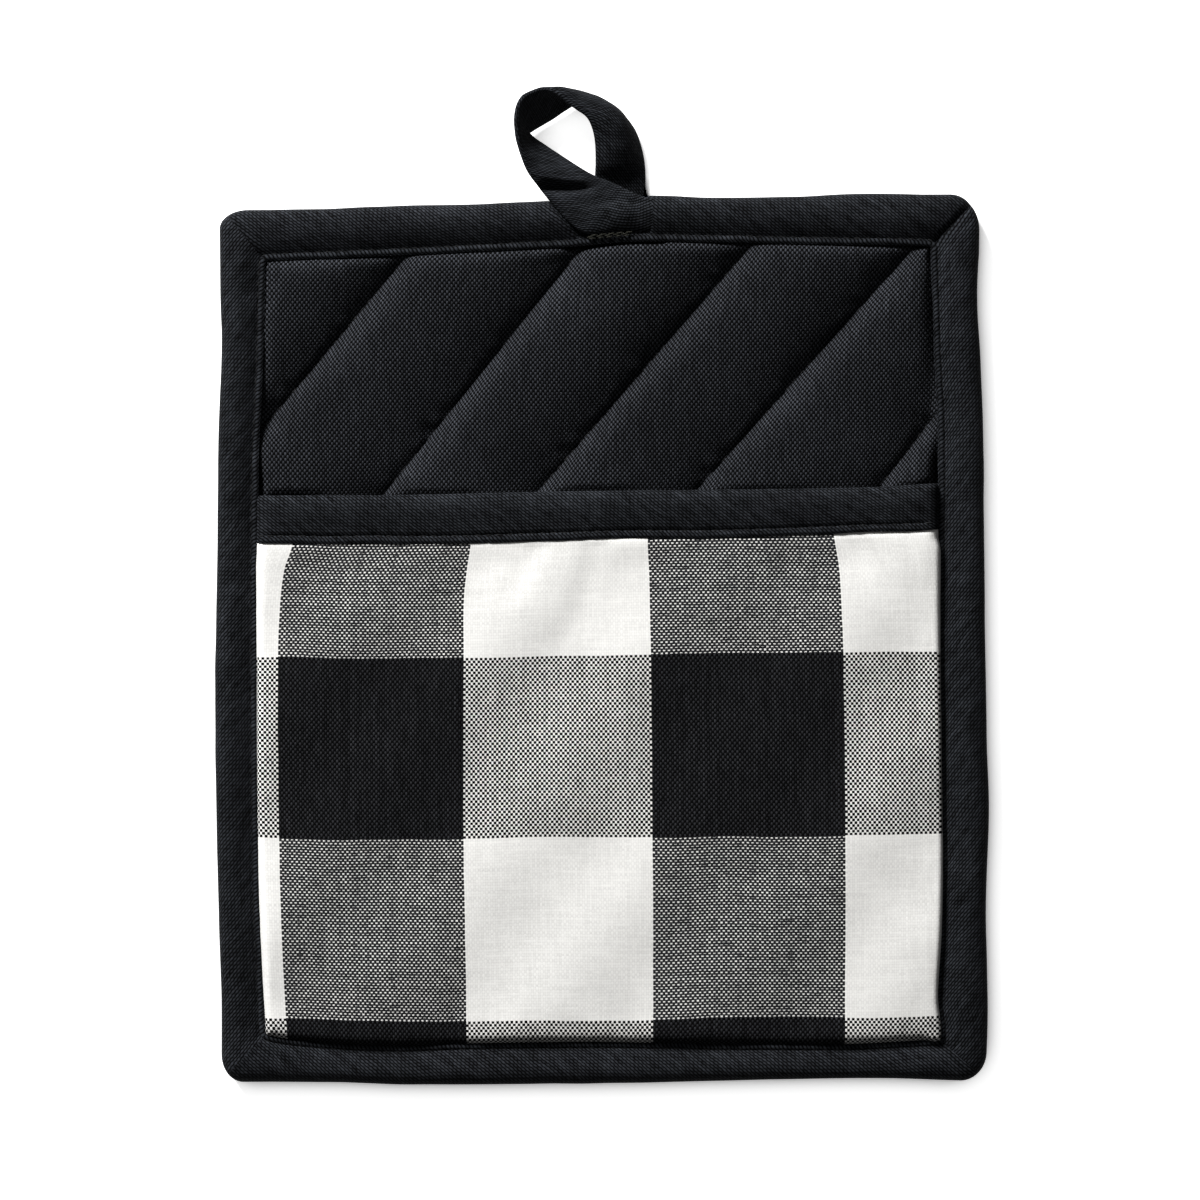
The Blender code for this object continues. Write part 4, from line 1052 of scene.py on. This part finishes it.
def makeStitches(name, paths, upward, material, length=None, radius=None):
    s = stitching
    stitch, thick = length or s["length"], radius or s["radius"]
    points, faces, uvs = [], [], []
    jitter = np.random.default_rng(sum(map(ord, name)))
    tube = gridFaces(s["stations"], s["sides"], ring=True)
    ends = np.arange(s["sides"])[::-1], np.arange(s["sides"]) + (s["stations"] - 1) * s["sides"]
    angles = 2 * math.pi * np.arange(s["sides"]) / s["sides"]
    cosine, sine = np.cos(angles)[:, None], np.sin(angles)[:, None]
    u = np.linspace(-1, 1, s["stations"])
    for path in paths:
        travel = running(np.linalg.norm(np.diff(path, axis=0), axis=1))
        where = 0.3
        while where + stitch < travel[-1]:
            long = stitch * jitter.uniform(*s["uneven"])
            t = np.linspace(where, where + long - s["gap"], s["stations"])
            middle = np.stack([np.interp(t, travel, path[:, k]) for k in range(3)], -1)
            middle[:, 2] += upward * thick * (s["rise"] - s["dive"] * np.abs(u) ** 3)
            ahead = unit(np.gradient(middle, axis=0))
            side = unit(np.cross(ahead, (0, 0, upward)))
            over = np.cross(side, ahead)
            swell = thick * (1 - s["taper"] * np.abs(u) ** 4)
            out = swell[:, None, None] * (cosine * side[:, None] + sine * over[:, None])
            first = len(points)
            points.extend((middle[:, None] + out).reshape(-1, 3))
            faces += (tube + first).tolist() + [(end + first).tolist() for end in ends]
            grid = np.stack(np.meshgrid(t, np.arange(s["sides"] + 1), indexing="ij"), -1)
            uvs += quadCorners(grid).reshape(-1, 2).tolist() + [(where, 0)] * (2 * s["sides"])
            where += long
    return finishMesh(name, np.array(points), faces, uvs, material)


def closedPath(path):
    return np.concatenate([path, path[:1]])


def notUnderLoop(path):
    # Splits a path where the loop covers it
    free = tuck(path[:, 0], path[:, 1]) < 0.3
    cuts = np.flatnonzero(np.diff(free)) + 1
    parts = zip(np.split(path, cuts), np.split(free, cuts))
    return [part for part, clear in parts if clear[0] and len(part) > 4]


def seamPaths(lowest, height):
    # The quilting seams, as far down as a depth below the pocket's mouth
    paths = []
    for seam in quilting["seams"]:
        y = np.arange(-131.0, 103.0, 0.7)
        x = seamLine(seam, y)[0]
        seen = (frameDepth(x, y) > 0.8) & (belowMouth(x, y) < lowest)
        x, y = x[seen], y[seen]
        if len(x) > 6:
            paths.append(np.stack([x, y, height(x, y)], -1))
    return paths


makeStitches("edgeStitches", notUnderLoop(closedPath(edgeStitchPath)), 1, blackThread)
makeStitches("edgeBackStitches", [closedPath(edgeBackPath)], -1, blackThread)
makeStitches("pocketStitches", [pocketStitchPath], 1, blackThread)
makeStitches("quiltStitches", seamPaths(-0.8, padTop), 1, blackThread)
makeStitches("quiltBackStitches", seamPaths(999, padLow), -1, blackThread)
# A few turns of another thread hold the loop's end down: shift and lift of each turn
loopTack = {"from": -4.2, "to": 8.6, "above": 0.25, "height": 7.3, "length": 2.3, "radius": 0.2,
            "turns": ((0.0, 0.0), (0.9, 0.45), (0.4, -0.4))}
tackX = np.linspace(loopTack["from"], loopTack["to"], 60)
tackY = curveAt(innerEdge["top"], tackX) + edgeStrip["stitchIn"] + loopTack["above"]
tackZ = np.full(len(tackX), loopTack["height"])
makeStitches("loopTack", [np.stack([tackX + shift, tackY + lift, tackZ], -1)
                          for shift, lift in loopTack["turns"]],
             1, oliveThread, loopTack["length"], loopTack["radius"])
print("stitches made")


# Paper, light and camera. The key light stands low at the upper left. The floor and the lights
# are in metres, the gap below, the shadow's reach, the lens and the scale's height in millimetres
studio = {
    "floor": 6.0, "floorBelow": 0.2, "floorColour": "#ffffff", "floorGlow": 0.92,
    "shadowReach": 7.0, "shadowFade": 2.2, "shadowDepth": 0.74,
    "keyStrength": 48.0, "keySize": 0.42, "keyAway": 1.6, "keyTowards": (-0.46, 0.76, 0.47),
    "fillStrength": 2.0, "fillSize": 1.6, "fillAway": 2.0, "fillTowards": (0.15, -0.1, 1.0),
    "sky": 0.09, "pixelsToMm": 3.77, "middlePixel": (602.0, 583.75), "frame": 1200.0,
    "lens": 120.0, "sensor": 36.0, "scaleHeight": 8.0, "printContrast": 0.8,
}


def makeStudio():
    s = studio
    mesh = bpy.data.meshes.new("studioFloor")
    r, below = s["floor"] / 2, -s["floorBelow"] * mm
    mesh.from_pydata([(-r, -r, below), (r, -r, below), (r, r, below), (-r, r, below)], [],
                     [(0, 1, 2, 3)])
    floor = bpy.data.objects.new("studioFloor", mesh)
    bpy.context.scene.collection.objects.link(floor)
    # White seamless paper that glows a little past white, so that only the contact shadow is grey;
    # that shadow is painted, by dimming the glow where the cloth stands close
    material, add = newMaterial("white seamless paper")
    opened = add("AmbientOcclusion", {"Distance": s["shadowReach"] * mm}, "AO", samples=12)
    hidden = add("Math SUBTRACT", (1.0, opened))
    hidden = add("Math POWER", (add("Math MULTIPLY", (hidden, 2.0)), s["shadowFade"]))
    glow = add("Math MULTIPLY_ADD", (hidden, -s["shadowDepth"] * s["floorGlow"], s["floorGlow"]))
    paper = add("BsdfPrincipled", {
        "Base Color": s["floorColour"], "Roughness": 0.9, "Specular IOR Level": 0.1,
        "Emission Color": s["floorColour"], "Emission Strength": glow})
    add("OutputMaterial", {"Surface": paper})
    mesh.materials.append(material)
    # The paper is lit for itself, and throws no light back on the cloth
    floor.visible_diffuse = False

    for name, part in (("keySoftbox", "key"), ("topSoftbox", "fill")):
        light = bpy.data.lights.new(name, "AREA")
        light.shape = "SQUARE"
        light.size = s[part + "Size"]
        light.energy = s[part + "Strength"]
        softbox = bpy.data.objects.new(name, light)
        direction = Vector(s[part + "Towards"]).normalized()
        softbox.location = direction * s[part + "Away"]
        softbox.rotation_euler = direction.to_track_quat("Z", "Y").to_euler()
        bpy.context.scene.collection.objects.link(softbox)
    world = bpy.data.worlds.new("paleRoom")
    world.use_nodes = True
    colour, strength = world.node_tree.nodes["Background"].inputs[:2]
    colour.default_value, strength.default_value = (1, 1, 1, 1), s["sky"]
    bpy.context.scene.world = world
    # The photo is printed with deep blacks
    bpy.context.scene.view_settings.view_transform = "Standard"
    bpy.context.scene.view_settings.gamma = s["printContrast"]

    camera = bpy.data.cameras.new("photoCamera")
    camera.lens, camera.sensor_width = s["lens"], s["sensor"]
    camera.clip_start, camera.clip_end = 0.05, 20.0
    thing = bpy.data.objects.new("photoCamera", camera)
    # The photo's scale holds at the height of the cloth's crowns
    seen = s["frame"] / s["pixelsToMm"] * mm
    x = (s["frame"] / 2 - s["middlePixel"][0]) / s["pixelsToMm"] * mm
    y = (s["middlePixel"][1] - s["frame"] / 2) / s["pixelsToMm"] * mm
    thing.location = (x, y, s["scaleHeight"] * mm + seen * s["lens"] / s["sensor"])
    bpy.context.scene.collection.objects.link(thing)
    bpy.context.scene.camera = thing


makeStudio()
print("studio made")

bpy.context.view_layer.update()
